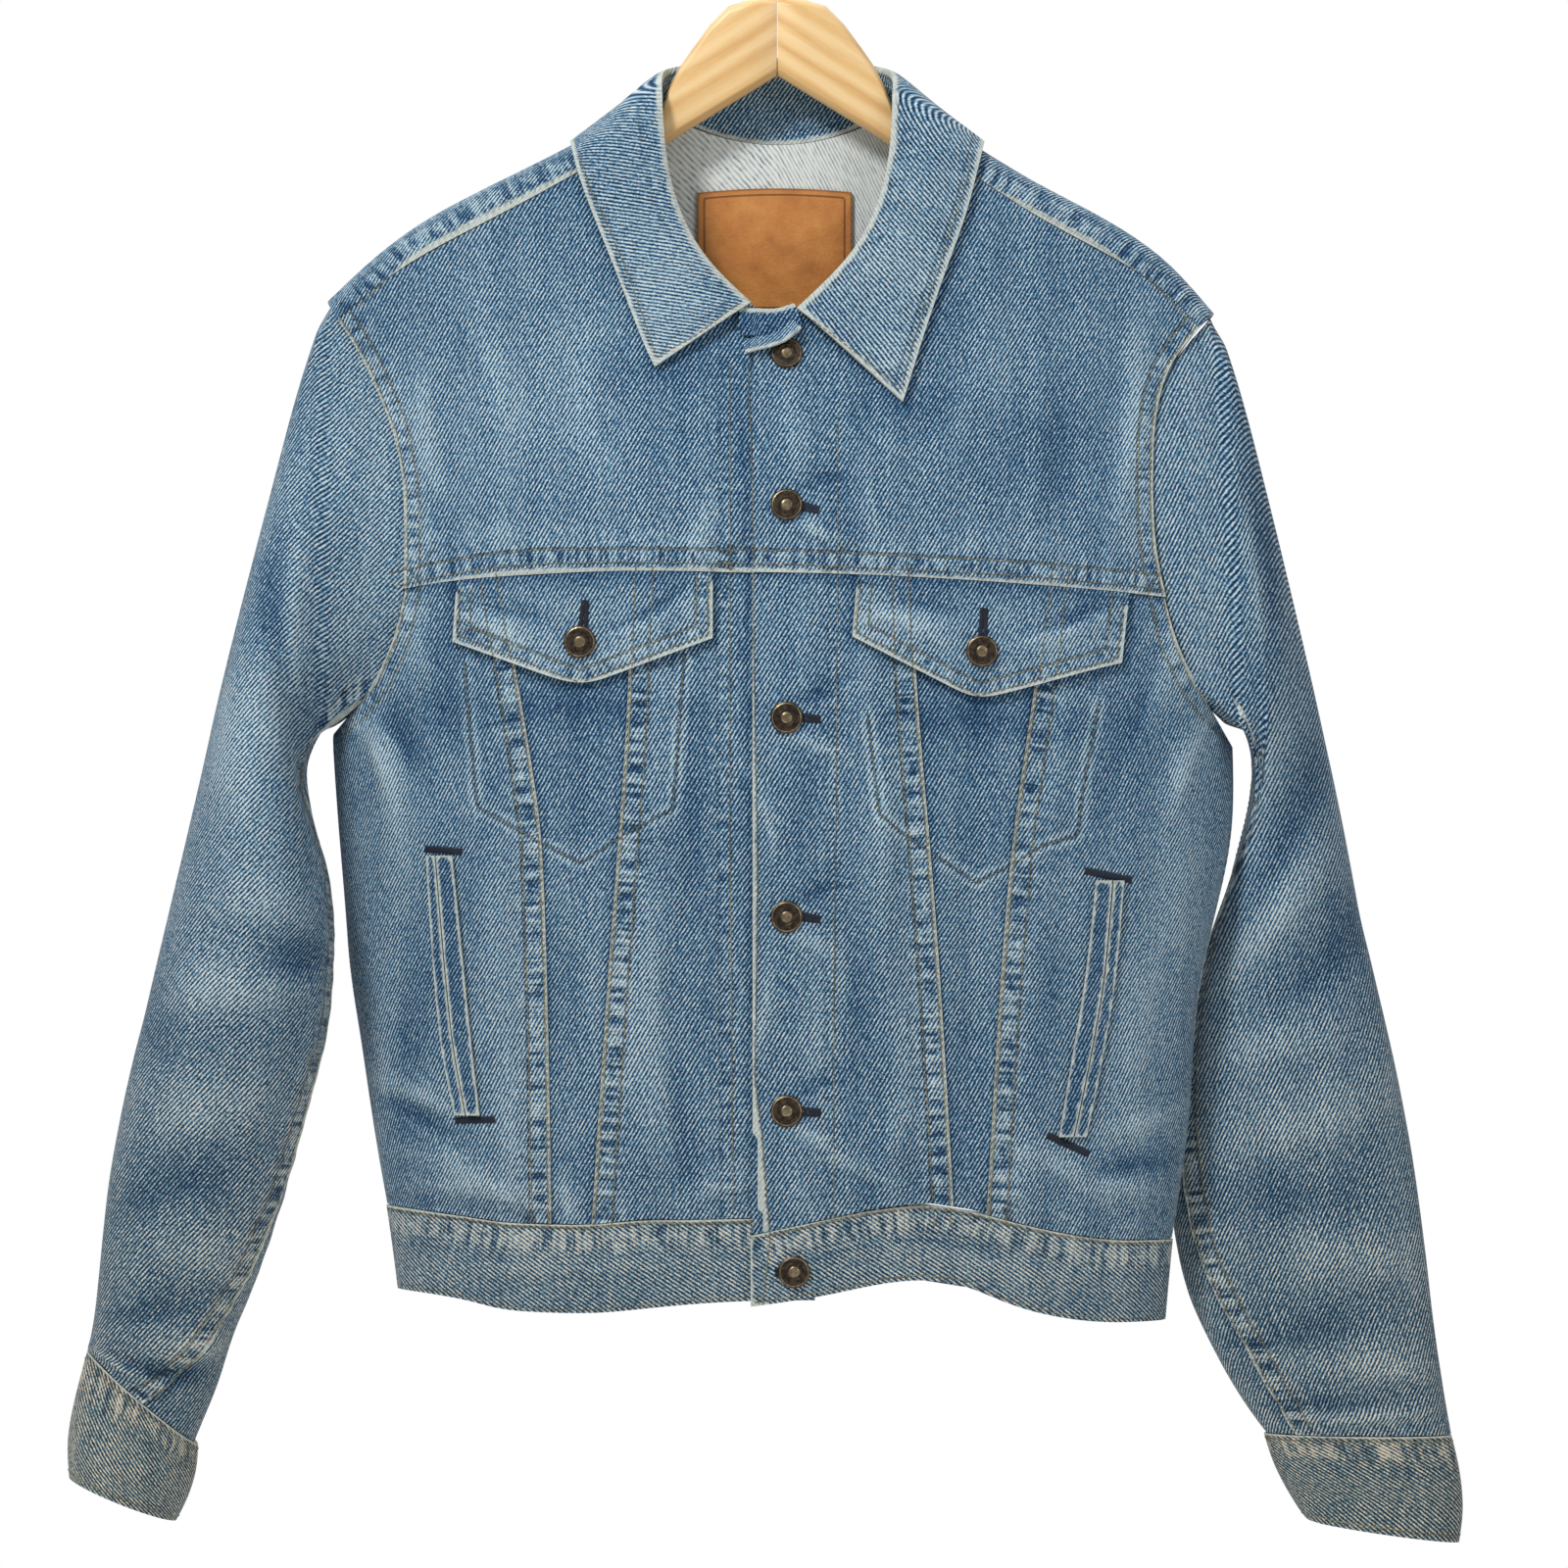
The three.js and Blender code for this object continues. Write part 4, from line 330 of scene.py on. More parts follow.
# A cloth shell is a merged copy of its CAD node, smoothed, then creased and given its cloth coordinates.
def pickOnly(piece):
    bpy.ops.object.select_all(action="DESELECT")
    piece.select_set(True)
    bpy.context.view_layer.objects.active = piece


def mergedCopy(node, name):
    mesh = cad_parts[node].data.copy()
    mesh.materials.clear()
    mesh.name = name
    piece = bpy.data.objects.new(name, mesh)
    bpy.context.collection.objects.link(piece)
    pickOnly(piece)
    if mesh.has_custom_normals:
        bpy.ops.mesh.customdata_custom_splitnormals_clear()
    bpy.ops.object.mode_set(mode="EDIT")
    bpy.ops.mesh.select_all(action="SELECT")
    bpy.ops.mesh.remove_doubles(threshold=0.00002)
    bpy.ops.mesh.tris_convert_to_quads(face_threshold=math.radians(70), shape_threshold=math.radians(70))
    bpy.ops.object.mode_set(mode="OBJECT")
    return piece


def clothShell(node, levels, sharp=50):
    piece = mergedCopy(node, node + "_cloth")
    bpy.ops.object.mode_set(mode="EDIT")
    bpy.ops.mesh.select_mode(type="EDGE")
    bpy.ops.mesh.select_all(action="DESELECT")
    bpy.ops.mesh.edges_select_sharp(sharpness=math.radians(sharp))
    bpy.ops.transform.edge_crease(value=1.0)
    bpy.ops.object.mode_set(mode="OBJECT")
    smoothing = piece.modifiers.new("clothSmoothing", "SUBSURF")
    smoothing.levels = levels
    smoothing.render_levels = levels
    bpy.ops.object.modifier_apply(modifier=smoothing.name)
    bpy.ops.object.shade_smooth_by_angle(angle=math.radians(45))
    return piece


def thicken(piece):  # the wrong side gets the second material
    pickOnly(piece)
    wall = piece.modifiers.new("clothThickness", "SOLIDIFY")
    wall.thickness = 0.0012
    wall.offset = -1
    wall.material_offset = 1
    bpy.ops.object.modifier_apply(modifier=wall.name)
    bpy.ops.object.shade_smooth_by_angle(angle=math.radians(45))


def readPoints(piece):
    mesh = piece.data
    points = np.empty(len(mesh.vertices) * 3)
    mesh.vertices.foreach_get("co", points)
    return points.reshape(-1, 3) / mm


def writePoints(piece, points):
    piece.data.vertices.foreach_set("co", (points * mm).ravel())
    piece.data.update()


def rimDistance(piece, points, kept=None, longest=60.0):  # distance from the cut edges that are kept
    mesh = piece.data
    crease = mesh.attributes.get("crease_edge")
    marks = np.zeros(len(mesh.edges))
    crease.data.foreach_get("value", marks)
    ends = np.empty(len(mesh.edges) * 2, dtype=int)
    mesh.edges.foreach_get("vertices", ends)
    rim = np.unique(ends.reshape(-1, 2)[marks > 0.5])
    if kept is not None:
        rim = rim[kept[rim]]
    tree = KDTree(len(rim))
    for k, vertex in enumerate(rim):
        tree.insert(points[vertex], k)
    tree.balance()
    return np.array([min(tree.find(p)[2], longest) for p in points])


def setAttribute(piece, name, values):
    layer = piece.data.attributes.new(name, "FLOAT", "POINT")
    layer.data.foreach_set("value", np.asarray(values, dtype=np.float32))


def blankMarks(count):
    return {"edge": np.full(count, 40.0), "strip": np.full(count, -20.0), "bag": np.full(count, 20.0),
            "run": np.zeros(count), "rung": np.zeros(count), "tone": np.zeros(count), "grey": np.zeros(count)}


def addStrip(marks, inside, walked, rung):  # the strip that a point lies deepest in gives it its run
    deeper = inside > marks["strip"]
    marks["strip"] = np.where(deeper, inside, marks["strip"])
    marks["run"] = np.where(deeper, walked, marks["run"])
    marks["rung"] = np.where(deeper, rung, marks["rung"])


def setCloth(piece, u, v, marks, behind=None):  # faces behind are mirrored, so the twill runs one way all round
    mesh = piece.data
    for layer in list(mesh.uv_layers):
        mesh.uv_layers.remove(layer)
    layer = mesh.uv_layers.new(name="cloth")
    corners = np.empty(len(mesh.loops), dtype=int)
    mesh.loops.foreach_get("vertex_index", corners)
    spots = np.column_stack([u, v])[corners]
    if behind is not None:
        starts = np.empty(len(mesh.polygons), dtype=int)
        mesh.polygons.foreach_get("loop_start", starts)
        share = np.add.reduceat(behind[corners].astype(float), starts)
        totals = np.diff(np.append(starts, len(corners)))
        spots[:, 0] *= np.where(np.repeat(share / totals > 0.5, totals), -1, 1)
    layer.data.foreach_set("uv", spots.astype(np.float32).ravel())
    marks["edge"] = np.clip(marks["edge"], -40, 40)
    marks["strip"] = np.clip(marks["strip"], -20, 20)
    for name, values in marks.items():
        setAttribute(piece, name, values)


def toneAt(table, x, z):
    tone = np.zeros(len(x))
    for midX, midZ, halfX, halfZ, amount in table:
        tone += amount * np.exp(-((x - midX) / halfX) ** 2 - ((z - midZ) / halfZ) ** 2)
    return tone


def faceSides(piece, insideTest):  # the second material is the wrong side of the cloth
    mesh = piece.data
    normals = np.empty(len(mesh.polygons) * 3)
    centres = np.empty(len(mesh.polygons) * 3)
    mesh.polygons.foreach_get("normal", normals)
    mesh.polygons.foreach_get("center", centres)
    inside = insideTest(centres.reshape(-1, 3) / mm, normals.reshape(-1, 3))
    mesh.polygons.foreach_set("material_index", inside.astype(np.int32))
    mesh.update()


def newMaterial(name):
    material = bpy.data.materials.new(name)
    material.use_nodes = True
    tree = material.node_tree
    tree.nodes.clear()
    output = tree.nodes.new("ShaderNodeOutputMaterial")
    surface = tree.nodes.new("ShaderNodeBsdfPrincipled")
    tree.links.new(surface.outputs["BSDF"], output.inputs["Surface"])
    return material, tree, surface


def feed(tree, socket, value):
    if isinstance(value, bpy.types.NodeSocket):
        tree.links.new(value, socket)
    else:
        socket.default_value = value


def calc(tree, operation, a, b=0.0, c=0.0, clamp=False):
    node = tree.nodes.new("ShaderNodeMath")
    node.operation = operation
    node.use_clamp = clamp
    for socket, value in zip(node.inputs, (a, b, c)):
        feed(tree, socket, value)
    return node.outputs[0]


def rangeOf(tree, value, low, high, toLow=0.0, toHigh=1.0):
    node = tree.nodes.new("ShaderNodeMapRange")
    node.interpolation_type = "SMOOTHSTEP"
    for socket, v in zip(node.inputs, (value, low, high, toLow, toHigh)):
        feed(tree, socket, v)
    return node.outputs[0]


def mapped(tree, vector, scale=(1, 1, 1), turn=(0, 0, 0), place=(0, 0, 0)):
    node = tree.nodes.new("ShaderNodeMapping")
    feed(tree, node.inputs["Vector"], vector)
    node.inputs["Scale"].default_value = scale
    node.inputs["Rotation"].default_value = turn
    node.inputs["Location"].default_value = place
    return node.outputs[0]


def noise(tree, vector, scale, detail=2.0, rough=0.5, distortion=0.0):
    node = tree.nodes.new("ShaderNodeTexNoise")
    feed(tree, node.inputs["Vector"], vector)
    for name, value in (("Scale", scale), ("Detail", detail), ("Roughness", rough), ("Distortion", distortion)):
        feed(tree, node.inputs[name], value)
    return node.outputs["Fac"]


def bands(tree, vector, period, distortion=0.0, detailScale=1.0):
    node = tree.nodes.new("ShaderNodeTexWave")
    node.wave_type = "BANDS"
    node.bands_direction = "X"
    feed(tree, node.inputs["Vector"], vector)
    node.inputs["Scale"].default_value = 0.31416 / period
    node.inputs["Distortion"].default_value = distortion
    node.inputs["Detail"].default_value = 1.0
    node.inputs["Detail Scale"].default_value = detailScale
    return node.outputs["Fac"]


def colours(tree, value, stops):
    node = tree.nodes.new("ShaderNodeValToRGB")
    ramp = node.color_ramp
    while len(ramp.elements) < len(stops):
        ramp.elements.new(0.5)
    for element, (place, colour) in zip(ramp.elements, stops):
        element.position = place
        element.color = (*colour, 1)
    feed(tree, node.inputs["Fac"], value)
    return node.outputs["Color"]


def blendColour(tree, factor, a, b, blend="MIX"):
    node = tree.nodes.new("ShaderNodeMix")
    node.data_type = "RGBA"
    node.blend_type = blend
    feed(tree, node.inputs["Factor"], factor)
    for name, value in (("A", a), ("B", b)):
        feed(tree, [s for s in node.inputs if s.name == name and s.type == "RGBA"][0], value)
    return [s for s in node.outputs if s.type == "RGBA"][0]


def bumped(tree, surface, height, strength, distance, normal=None):
    node = tree.nodes.new("ShaderNodeBump")
    node.inputs["Strength"].default_value = strength
    node.inputs["Distance"].default_value = distance
    feed(tree, node.inputs["Height"], height)
    if normal is not None:
        tree.links.new(normal, node.inputs["Normal"])
    if surface is not None:
        tree.links.new(node.outputs[0], surface.inputs["Normal"])
    return node.outputs[0]


def floatOf(tree, name):
    node = tree.nodes.new("ShaderNodeAttribute")
    node.attribute_name = name
    return node.outputs["Fac"]


def clothMap(tree):
    node = tree.nodes.new("ShaderNodeUVMap")
    node.uv_map = "cloth"
    return node.outputs[0]


denimLook = {
    # value and colour, from the darkest thread to the palest
    "stops": [(0.0, (0.006, 0.024, 0.075)), (0.26, (0.026, 0.088, 0.18)), (0.5, (0.085, 0.2, 0.325)),
              (0.74, (0.235, 0.41, 0.53)), (1.0, (0.6, 0.7, 0.72))],
    "level": 0.4, "greyed": (1.3, 0.9, 0.63), "wornEdge": (0.6, 0.64, 0.58),
    "twillPeriod": 1.95, "twill": 0.9, "streak": 1.1, "speck": 1.8, "slub": 0.35, "cloud": 0.26, "drift": 0.3,
}


def swung(tree, value, factor, depth):  # adds depth times how far a 0 to 1 pattern is from its middle
    return calc(tree, "ADD", value, calc(tree, "MULTIPLY_ADD", factor, depth, -depth / 2))


def denimMaterial(name, lean, level=0.0, wornWidth=1.9, dashes=1.0, contrast=1.0):
    look = denimLook
    material, tree, surface = newMaterial(name)
    flat = clothMap(tree)
    edge, strip, bag = floatOf(tree, "edge"), floatOf(tree, "strip"), floatOf(tree, "bag")
    tone, grey, rung = floatOf(tree, "tone"), floatOf(tree, "grey"), floatOf(tree, "rung")
    turned = mapped(tree, flat, turn=(0, 0, math.radians(lean)))
    twill = bands(tree, turned, look["twillPeriod"] * mm, distortion=0.7, detailScale=0.5)
    streak = noise(tree, mapped(tree, turned, scale=(800, 260, 1)), 1.0, detail=2.0, rough=0.6)
    speck = noise(tree, mapped(tree, flat, scale=(900, 820, 1)), 1.0, detail=1.5, rough=0.7)
    slub = noise(tree, mapped(tree, flat, scale=(820, 75, 1)), 1.0, detail=2.0)
    cloud = noise(tree, flat, 15.0, detail=5.0, rough=0.62)
    drift = noise(tree, mapped(tree, flat, scale=(70, 14, 1)), 1.0, detail=3.0, rough=0.6)
    value = calc(tree, "MULTIPLY_ADD", tone, 0.62, look["level"] + level)
    for pattern, depth in ((cloud, "cloud"), (drift, "drift"), (slub, "slub"), (speck, "speck"), (streak, "streak"),
                           (twill, "twill")):
        value = swung(tree, value, pattern, look[depth] * contrast)
    # felled strips: dark dashes across the strip between its two rows, pale cloth round them
    seamPlace = tree.nodes.new("ShaderNodeCombineXYZ")
    feed(tree, seamPlace.inputs[0], calc(tree, "MULTIPLY", floatOf(tree, "run"), 0.25))
    feed(tree, seamPlace.inputs[1], calc(tree, "MULTIPLY", strip, 0.045))
    dash = noise(tree, seamPlace.outputs[0], 1.0, detail=2.5, rough=0.55, distortion=0.3)
    blotch = noise(tree, flat, 150.0, detail=2.0, rough=0.5, distortion=0.3)
    dash = calc(tree, "MULTIPLY_ADD", blotch, 0.4, calc(tree, "MULTIPLY_ADD", dash, 1.0, -0.2))
    inStrip = rangeOf(tree, strip, -0.5, 1.0)
    middle = rangeOf(tree, strip, 0.9, 3.2)
    nearStrip = calc(tree, "MULTIPLY", rangeOf(tree, strip, -9.0, -0.5), rung)
    darker = calc(tree, "MULTIPLY", rangeOf(tree, dash, 0.5, 0.64, 0.0, -0.42 * dashes), middle)
    paler = calc(tree, "MULTIPLY", rangeOf(tree, dash, 0.38, 0.52, 0.36 * dashes, 0.08), inStrip)
    value = calc(tree, "MULTIPLY_ADD", calc(tree, "ADD", darker, paler), rung, value)
    besides = calc(tree, "MULTIPLY", calc(tree, "SUBTRACT", nearStrip, calc(tree, "MULTIPLY", inStrip, rung)), dashes)
    value = calc(tree, "MULTIPLY_ADD", besides, calc(tree, "MULTIPLY_ADD", dash, -0.9, 0.52), value)
    # the stitched rows sink in and get painted shade in their grooves; the bag behind the front shows as two pale
    # lines, with a darker line on its seam
    row = calc(tree, "MULTIPLY", rangeOf(tree, strip, 0.3, 1.0), rangeOf(tree, strip, 1.5, 2.3, 1.0, 0.0))
    value = calc(tree, "MULTIPLY_ADD", row, calc(tree, "MULTIPLY", rung, -0.2), value)
    bagAway = calc(tree, "ABSOLUTE", bag)
    bagPale = calc(tree, "MULTIPLY", rangeOf(tree, bagAway, 0.6, 2.2), rangeOf(tree, bagAway, 2.4, 5.5, 0.16, 0.0))
    bagPale = calc(tree, "MULTIPLY", bagPale, rangeOf(tree, drift, 0.3, 0.62, 0.5, 1.5))
    value = calc(tree, "ADD", value, bagPale)
    value = calc(tree, "ADD", value, rangeOf(tree, bagAway, 0.1, 1.1, -0.24, 0.0))
    base = colours(tree, value, look["stops"])
    base = blendColour(tree, grey, base, (*look["greyed"], 1), "MULTIPLY")
    # pale worn edges, ragged and streaked
    ragged = calc(tree, "MULTIPLY_ADD", noise(tree, flat, 230.0, detail=3.0, rough=0.65), 3.6, -1.8)
    frayed = rangeOf(tree, calc(tree, "ADD", edge, ragged), wornWidth * 0.5, wornWidth + 0.4, 0.92, 0.0)
    thread = calc(tree, "MULTIPLY_ADD", streak, 1.1, 0.3, clamp=True)
    base = blendColour(tree, calc(tree, "MULTIPLY", frayed, thread), base, (*look["wornEdge"], 1))
    tree.links.new(base, surface.inputs["Base Color"])
    surface.inputs["Roughness"].default_value = 0.92
    surface.inputs["Specular IOR Level"].default_value = 0.15
    surface.inputs["Sheen Weight"].default_value = 0.1
    surface.inputs["Sheen Roughness"].default_value = 0.5
    pucker = calc(tree, "MULTIPLY", dash, calc(tree, "MULTIPLY_ADD", inStrip, -0.9, calc(tree, "MULTIPLY", nearStrip, -0.5)))
    first = bumped(tree, None, calc(tree, "MULTIPLY", pucker, rung), 0.9, 0.004)
    weave = calc(tree, "ADD", calc(tree, "MULTIPLY", twill, 0.6), calc(tree, "ADD", streak, slub))
    bumped(tree, surface, weave, 0.7, 0.0006, first)
    return material


def wrongSideMaterial():
    material, tree, surface = newMaterial("denimWrongSide")
    flat = clothMap(tree)
    turned = mapped(tree, flat, turn=(0, 0, math.radians(33)))
    twill = bands(tree, turned, 2.1 * mm, distortion=1.0)
    streak = noise(tree, mapped(tree, turned, scale=(640, 150, 1)), 1.0, detail=2.0, rough=0.6)
    cloud = noise(tree, flat, 20.0, detail=4.0)
    value = calc(tree, "MULTIPLY_ADD", twill, 0.62, calc(tree, "MULTIPLY_ADD", streak, 1.2, -0.3))
    value = swung(tree, value, cloud, 0.35)
    base = colours(tree, value, [(0.05, (0.14, 0.21, 0.3)), (0.35, (0.5, 0.55, 0.56)), (0.8, (0.8, 0.82, 0.77))])
    tree.links.new(base, surface.inputs["Base Color"])
    surface.inputs["Roughness"].default_value = 0.95
    surface.inputs["Specular IOR Level"].default_value = 0.15
    bumped(tree, surface, value, 0.5, 0.0005)
    return material


def threadMaterial(name, colour, tint):
    material, tree, surface = newMaterial(name)
    place = tree.nodes.new("ShaderNodeTexCoord").outputs["Object"]
    fibre = noise(tree, place, 900.0, detail=2.0)
    wear = noise(tree, place, 35.0, detail=2.0)
    base = blendColour(tree, rangeOf(tree, wear, 0.35, 0.65), (*colour, 1), (*tint, 1))
    base = blendColour(tree, calc(tree, "MULTIPLY", fibre, 0.5), base, tuple(c * 0.5 for c in colour) + (1,))
    tree.links.new(base, surface.inputs["Base Color"])
    surface.inputs["Roughness"].default_value = 0.7
    bumped(tree, surface, fibre, 0.4, 0.0003)
    return material


def leatherMaterial():
    material, tree, surface = newMaterial("tanPatchLeather")
    place = tree.nodes.new("ShaderNodeTexCoord").outputs["Object"]
    edge = floatOf(tree, "edge")
    pores = tree.nodes.new("ShaderNodeTexVoronoi")
    pores.inputs["Scale"].default_value = 900.0
    feed(tree, pores.inputs["Vector"], place)
    mottle = noise(tree, place, 60.0, detail=5.0, rough=0.65)
    stain = noise(tree, place, 18.0, detail=3.0)
    groove = calc(tree, "MULTIPLY", rangeOf(tree, edge, 2.9, 3.4), rangeOf(tree, edge, 3.9, 4.4, 1.0, 0.0))
    base = colours(tree, calc(tree, "ADD", calc(tree, "MULTIPLY", mottle, 0.7), calc(tree, "MULTIPLY", stain, 0.35)),
                   [(0.3, (0.36, 0.12, 0.025)), (0.52, (0.58, 0.22, 0.048)), (0.75, (0.72, 0.33, 0.09))])
    dark = calc(tree, "MAXIMUM", calc(tree, "MULTIPLY", groove, 0.65), rangeOf(tree, edge, 0.2, 1.6, 0.6, 0.0))
    base = blendColour(tree, dark, base, (0.1, 0.035, 0.012, 1))
    tree.links.new(base, surface.inputs["Base Color"])
    surface.inputs["Roughness"].default_value = 0.55
    height = calc(tree, "MULTIPLY_ADD", pores.outputs["Distance"], 0.3, calc(tree, "MULTIPLY", mottle, 0.5))
    height = calc(tree, "SUBTRACT", height, groove)
    bumped(tree, surface, height, 0.6, 0.0006)
    return material


def woodMaterial(name, turn):
    material, tree, surface = newMaterial(name)
    place = tree.nodes.new("ShaderNodeTexCoord").outputs["Object"]
    laid = mapped(tree, place, turn=(0, math.radians(turn), 0))
    grain = noise(tree, mapped(tree, laid, scale=(9, 160, 150)), 1.0, detail=5.0, rough=0.6, distortion=0.3)
    rings = bands(tree, mapped(tree, laid, scale=(0.12, 1, 1), turn=(0, math.radians(90), 0)), 0.011, distortion=2.2, detailScale=0.7)
    flecks = noise(tree, mapped(tree, laid, scale=(130, 900, 700)), 1.0, detail=2.0)
    value = calc(tree, "MULTIPLY_ADD", rings, 0.28, calc(tree, "MULTIPLY", grain, 0.75))
    value = calc(tree, "MULTIPLY_ADD", flecks, 0.14, value)
    base = colours(tree, value, [(0.25, (0.62, 0.34, 0.12)), (0.5, (0.78, 0.49, 0.2)), (0.75, (0.88, 0.62, 0.31))])
    tree.links.new(base, surface.inputs["Base Color"])
    surface.inputs["Roughness"].default_value = 0.42
    surface.inputs["Coat Weight"].default_value = 0.25
    surface.inputs["Coat Roughness"].default_value = 0.3
    bumped(tree, surface, calc(tree, "ADD", grain, flecks), 0.25, 0.0003)
    return material


def metalMaterial(name, colour, tint, rough, scale):
    material, tree, surface = newMaterial(name)
    place = tree.nodes.new("ShaderNodeTexCoord").outputs["Object"]
    wear = noise(tree, place, scale, detail=4.0, rough=0.6)
    base = blendColour(tree, rangeOf(tree, wear, 0.4, 0.62), (*colour, 1), (*tint, 1))
    tree.links.new(base, surface.inputs["Base Color"])
    surface.inputs["Metallic"].default_value = 0.9
    tree.links.new(rangeOf(tree, wear, 0.35, 0.65, rough + 0.1, rough), surface.inputs["Roughness"])
    bumped(tree, surface, wear, 0.2, 0.0004)
    return material


denimBody = denimMaterial("washedDenim", 33)
denimBand = denimMaterial("washedDenimAcross", -57, level=0.02, wornWidth=1.5)
denimCollar = denimMaterial("washedDenimCollar", 33, level=0.05, wornWidth=2.5, dashes=0.6)
wrongSide = wrongSideMaterial()
print("materials made")


# Cut of each piece: node, levels of smoothing, flat width and length in metres, flat area in square metres, slot.
bodyCuts = [
    ("front_yoke_right", 3, 0.27, 0.26, 0.0434, "denim"), ("front_yoke_left", 3, 0.26, 0.26, 0.0420, "denim"),
    ("front_side_right", 3, 0.17, 0.35, 0.0380, "denim"), ("front_side_left", 3, 0.18, 0.35, 0.0398, "denim"),
    ("front_taper_right", 3, 0.072, 0.346, 0.0144, "denim"), ("front_taper_left", 3, 0.073, 0.337, 0.0142, "denim"),
    ("front_centre_right", 3, 0.13, 0.35, 0.0376, "denim"), ("front_centre_left", 3, 0.12, 0.35, 0.0335, "denim"),
    ("waistband_right", 3, 0.255, 0.046, 0.0114, "worn_denim"), ("waistband_left", 3, 0.25, 0.046, 0.0102, "worn_denim"),
    ("waistband_back", 3, 0.445, 0.046, 0.0194, "worn_denim"),
    ("back_yoke", 2, 0.51, 0.26, 0.0816, "denim"), ("back_side_right", 2, 0.21, 0.42, 0.0604, "denim"),
    ("back_side_left", 2, 0.22, 0.43, 0.0645, "denim"), ("back_centre", 2, 0.205, 0.42, 0.0690, "denim"),
    ("flap_right", 3, 0.14, 0.062, 0.0068, "denim"), ("flap_left", 3, 0.15, 0.067, 0.0074, "denim"),
    ("welt_wide_right", 2, 0.012, 0.14, 0.00154, "denim"), ("welt_wide_left", 2, 0.012, 0.138, 0.00148, "denim"),
    ("welt_lip_right", 2, 0.010, 0.14, 0.00099, "denim"), ("welt_lip_left", 2, 0.010, 0.138, 0.00098, "denim"),
]
# Felled strips on a piece: piece, line, from and to across it (left of the line's run is positive), strength of its dashes.
strips = [
    ("front_yoke", "yoke", 2.5, 12.5, 0.75), ("front_yoke_right", "armRight", 0.5, 9.5, 0.7),
    ("front_yoke_left", "armLeft", -9.5, -0.5, 0.7), ("front_side_right", "a", -12, -0.5, 1),
    ("front_centre_right", "b", 0.5, 12, 1), ("front_centre_left", "c", -12, -0.5, 1), ("front_side_left", "d", 0.5, 12, 1),
    ("front_side_right", "armRight", 0.5, 9.5, 0.6), ("front_side_left", "armLeft", -9.5, -0.5, 0.6),
    ("front_centre_left", "topstitch", -5, 1.5, 0.35), ("front_centre_right", "underBand", -7, 1.5, 0.5),
    ("front_yoke_left", "topstitch", -4, 1.5, 0.3), ("front_yoke_right", "underBand", -6, 1.5, 0.35),
    ("front_side", "bandRight", 2, 6, 0.3), ("front_side", "bandLeft", 2, 6, 0.3),
    ("waistband_right", "bandRight", -15, -1, 0.85), ("waistband_left", "bandLeft", -15, -1, 0.85),
    ("waistband_back", "backBand", -15, -1, 0.85), ("flap_right", "flapRight", 1.2, 9.6, 0.6),
    ("flap_left", "flapLeft", 1.2, 9.6, 0.6),
    ("back_yoke", "backYoke", 2.5, 12.5, 0.75), ("back_yoke", "shoulderRight", -12, 0, 0.9),
    ("back_yoke", "shoulderLeft", 0, 12, 0.9), ("back_side_right", "backRight", -12, -0.5, 1),
    ("back_side_left", "backLeft", 0.5, 12, 1), ("back_yoke", "backArmRight", 0.5, 9.5, 0.7),
    ("back_yoke", "backArmLeft", -9.5, -0.5, 0.7), ("back_side_right", "backArmRight", 0.5, 9.5, 0.6),
    ("back_side_left", "backArmLeft", -9.5, -0.5, 0.6),
]
# Pale worn edges on a piece: piece, line, which side of it.
wornEdges = [
    ("front_yoke", "yoke", 1), ("front_side_right", "a", -1), ("front_centre_right", "b", 1), ("front_centre_left", "c", -1),
    ("front_side_left", "d", 1), ("front_centre_left", "placket", 1), ("front_yoke_left", "placket", 1),
    ("front_yoke_right", "armRight", 1), ("front_yoke_left", "armLeft", -1), ("front_side_right", "armRight", 1),
    ("front_side_left", "armLeft", -1), ("back_yoke", "backYoke", 1), ("back_yoke", "shoulderRight", -1),
    ("back_yoke", "shoulderLeft", 1), ("back_side_right", "backRight", -1), ("back_side_left", "backLeft", 1),
]
lineOrder = list(seamLines)
madeCloth = {}


def bodyAcross(points, face):  # arc length from the middle of the front or back
    low, high, front, behind = (np.interp(-points[:, 2], -bodySections[:, 0], bodySections[:, k]) for k in (1, 2, 3, 4))
    middle = (low + high) / 2
    offset = points[:, 0] - middle
    share = np.clip(np.abs(offset) / ((high - low) / 2), 0, 1)
    depth = front if face < 0 else behind
    drop = depth * (1 - (1 - share**2.4) ** (1 / 2.4))
    return offset + np.sign(offset) * drop


def finishSheet(piece, node):
    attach(piece, "root")
    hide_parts(node)
    madeCloth[node] = piece


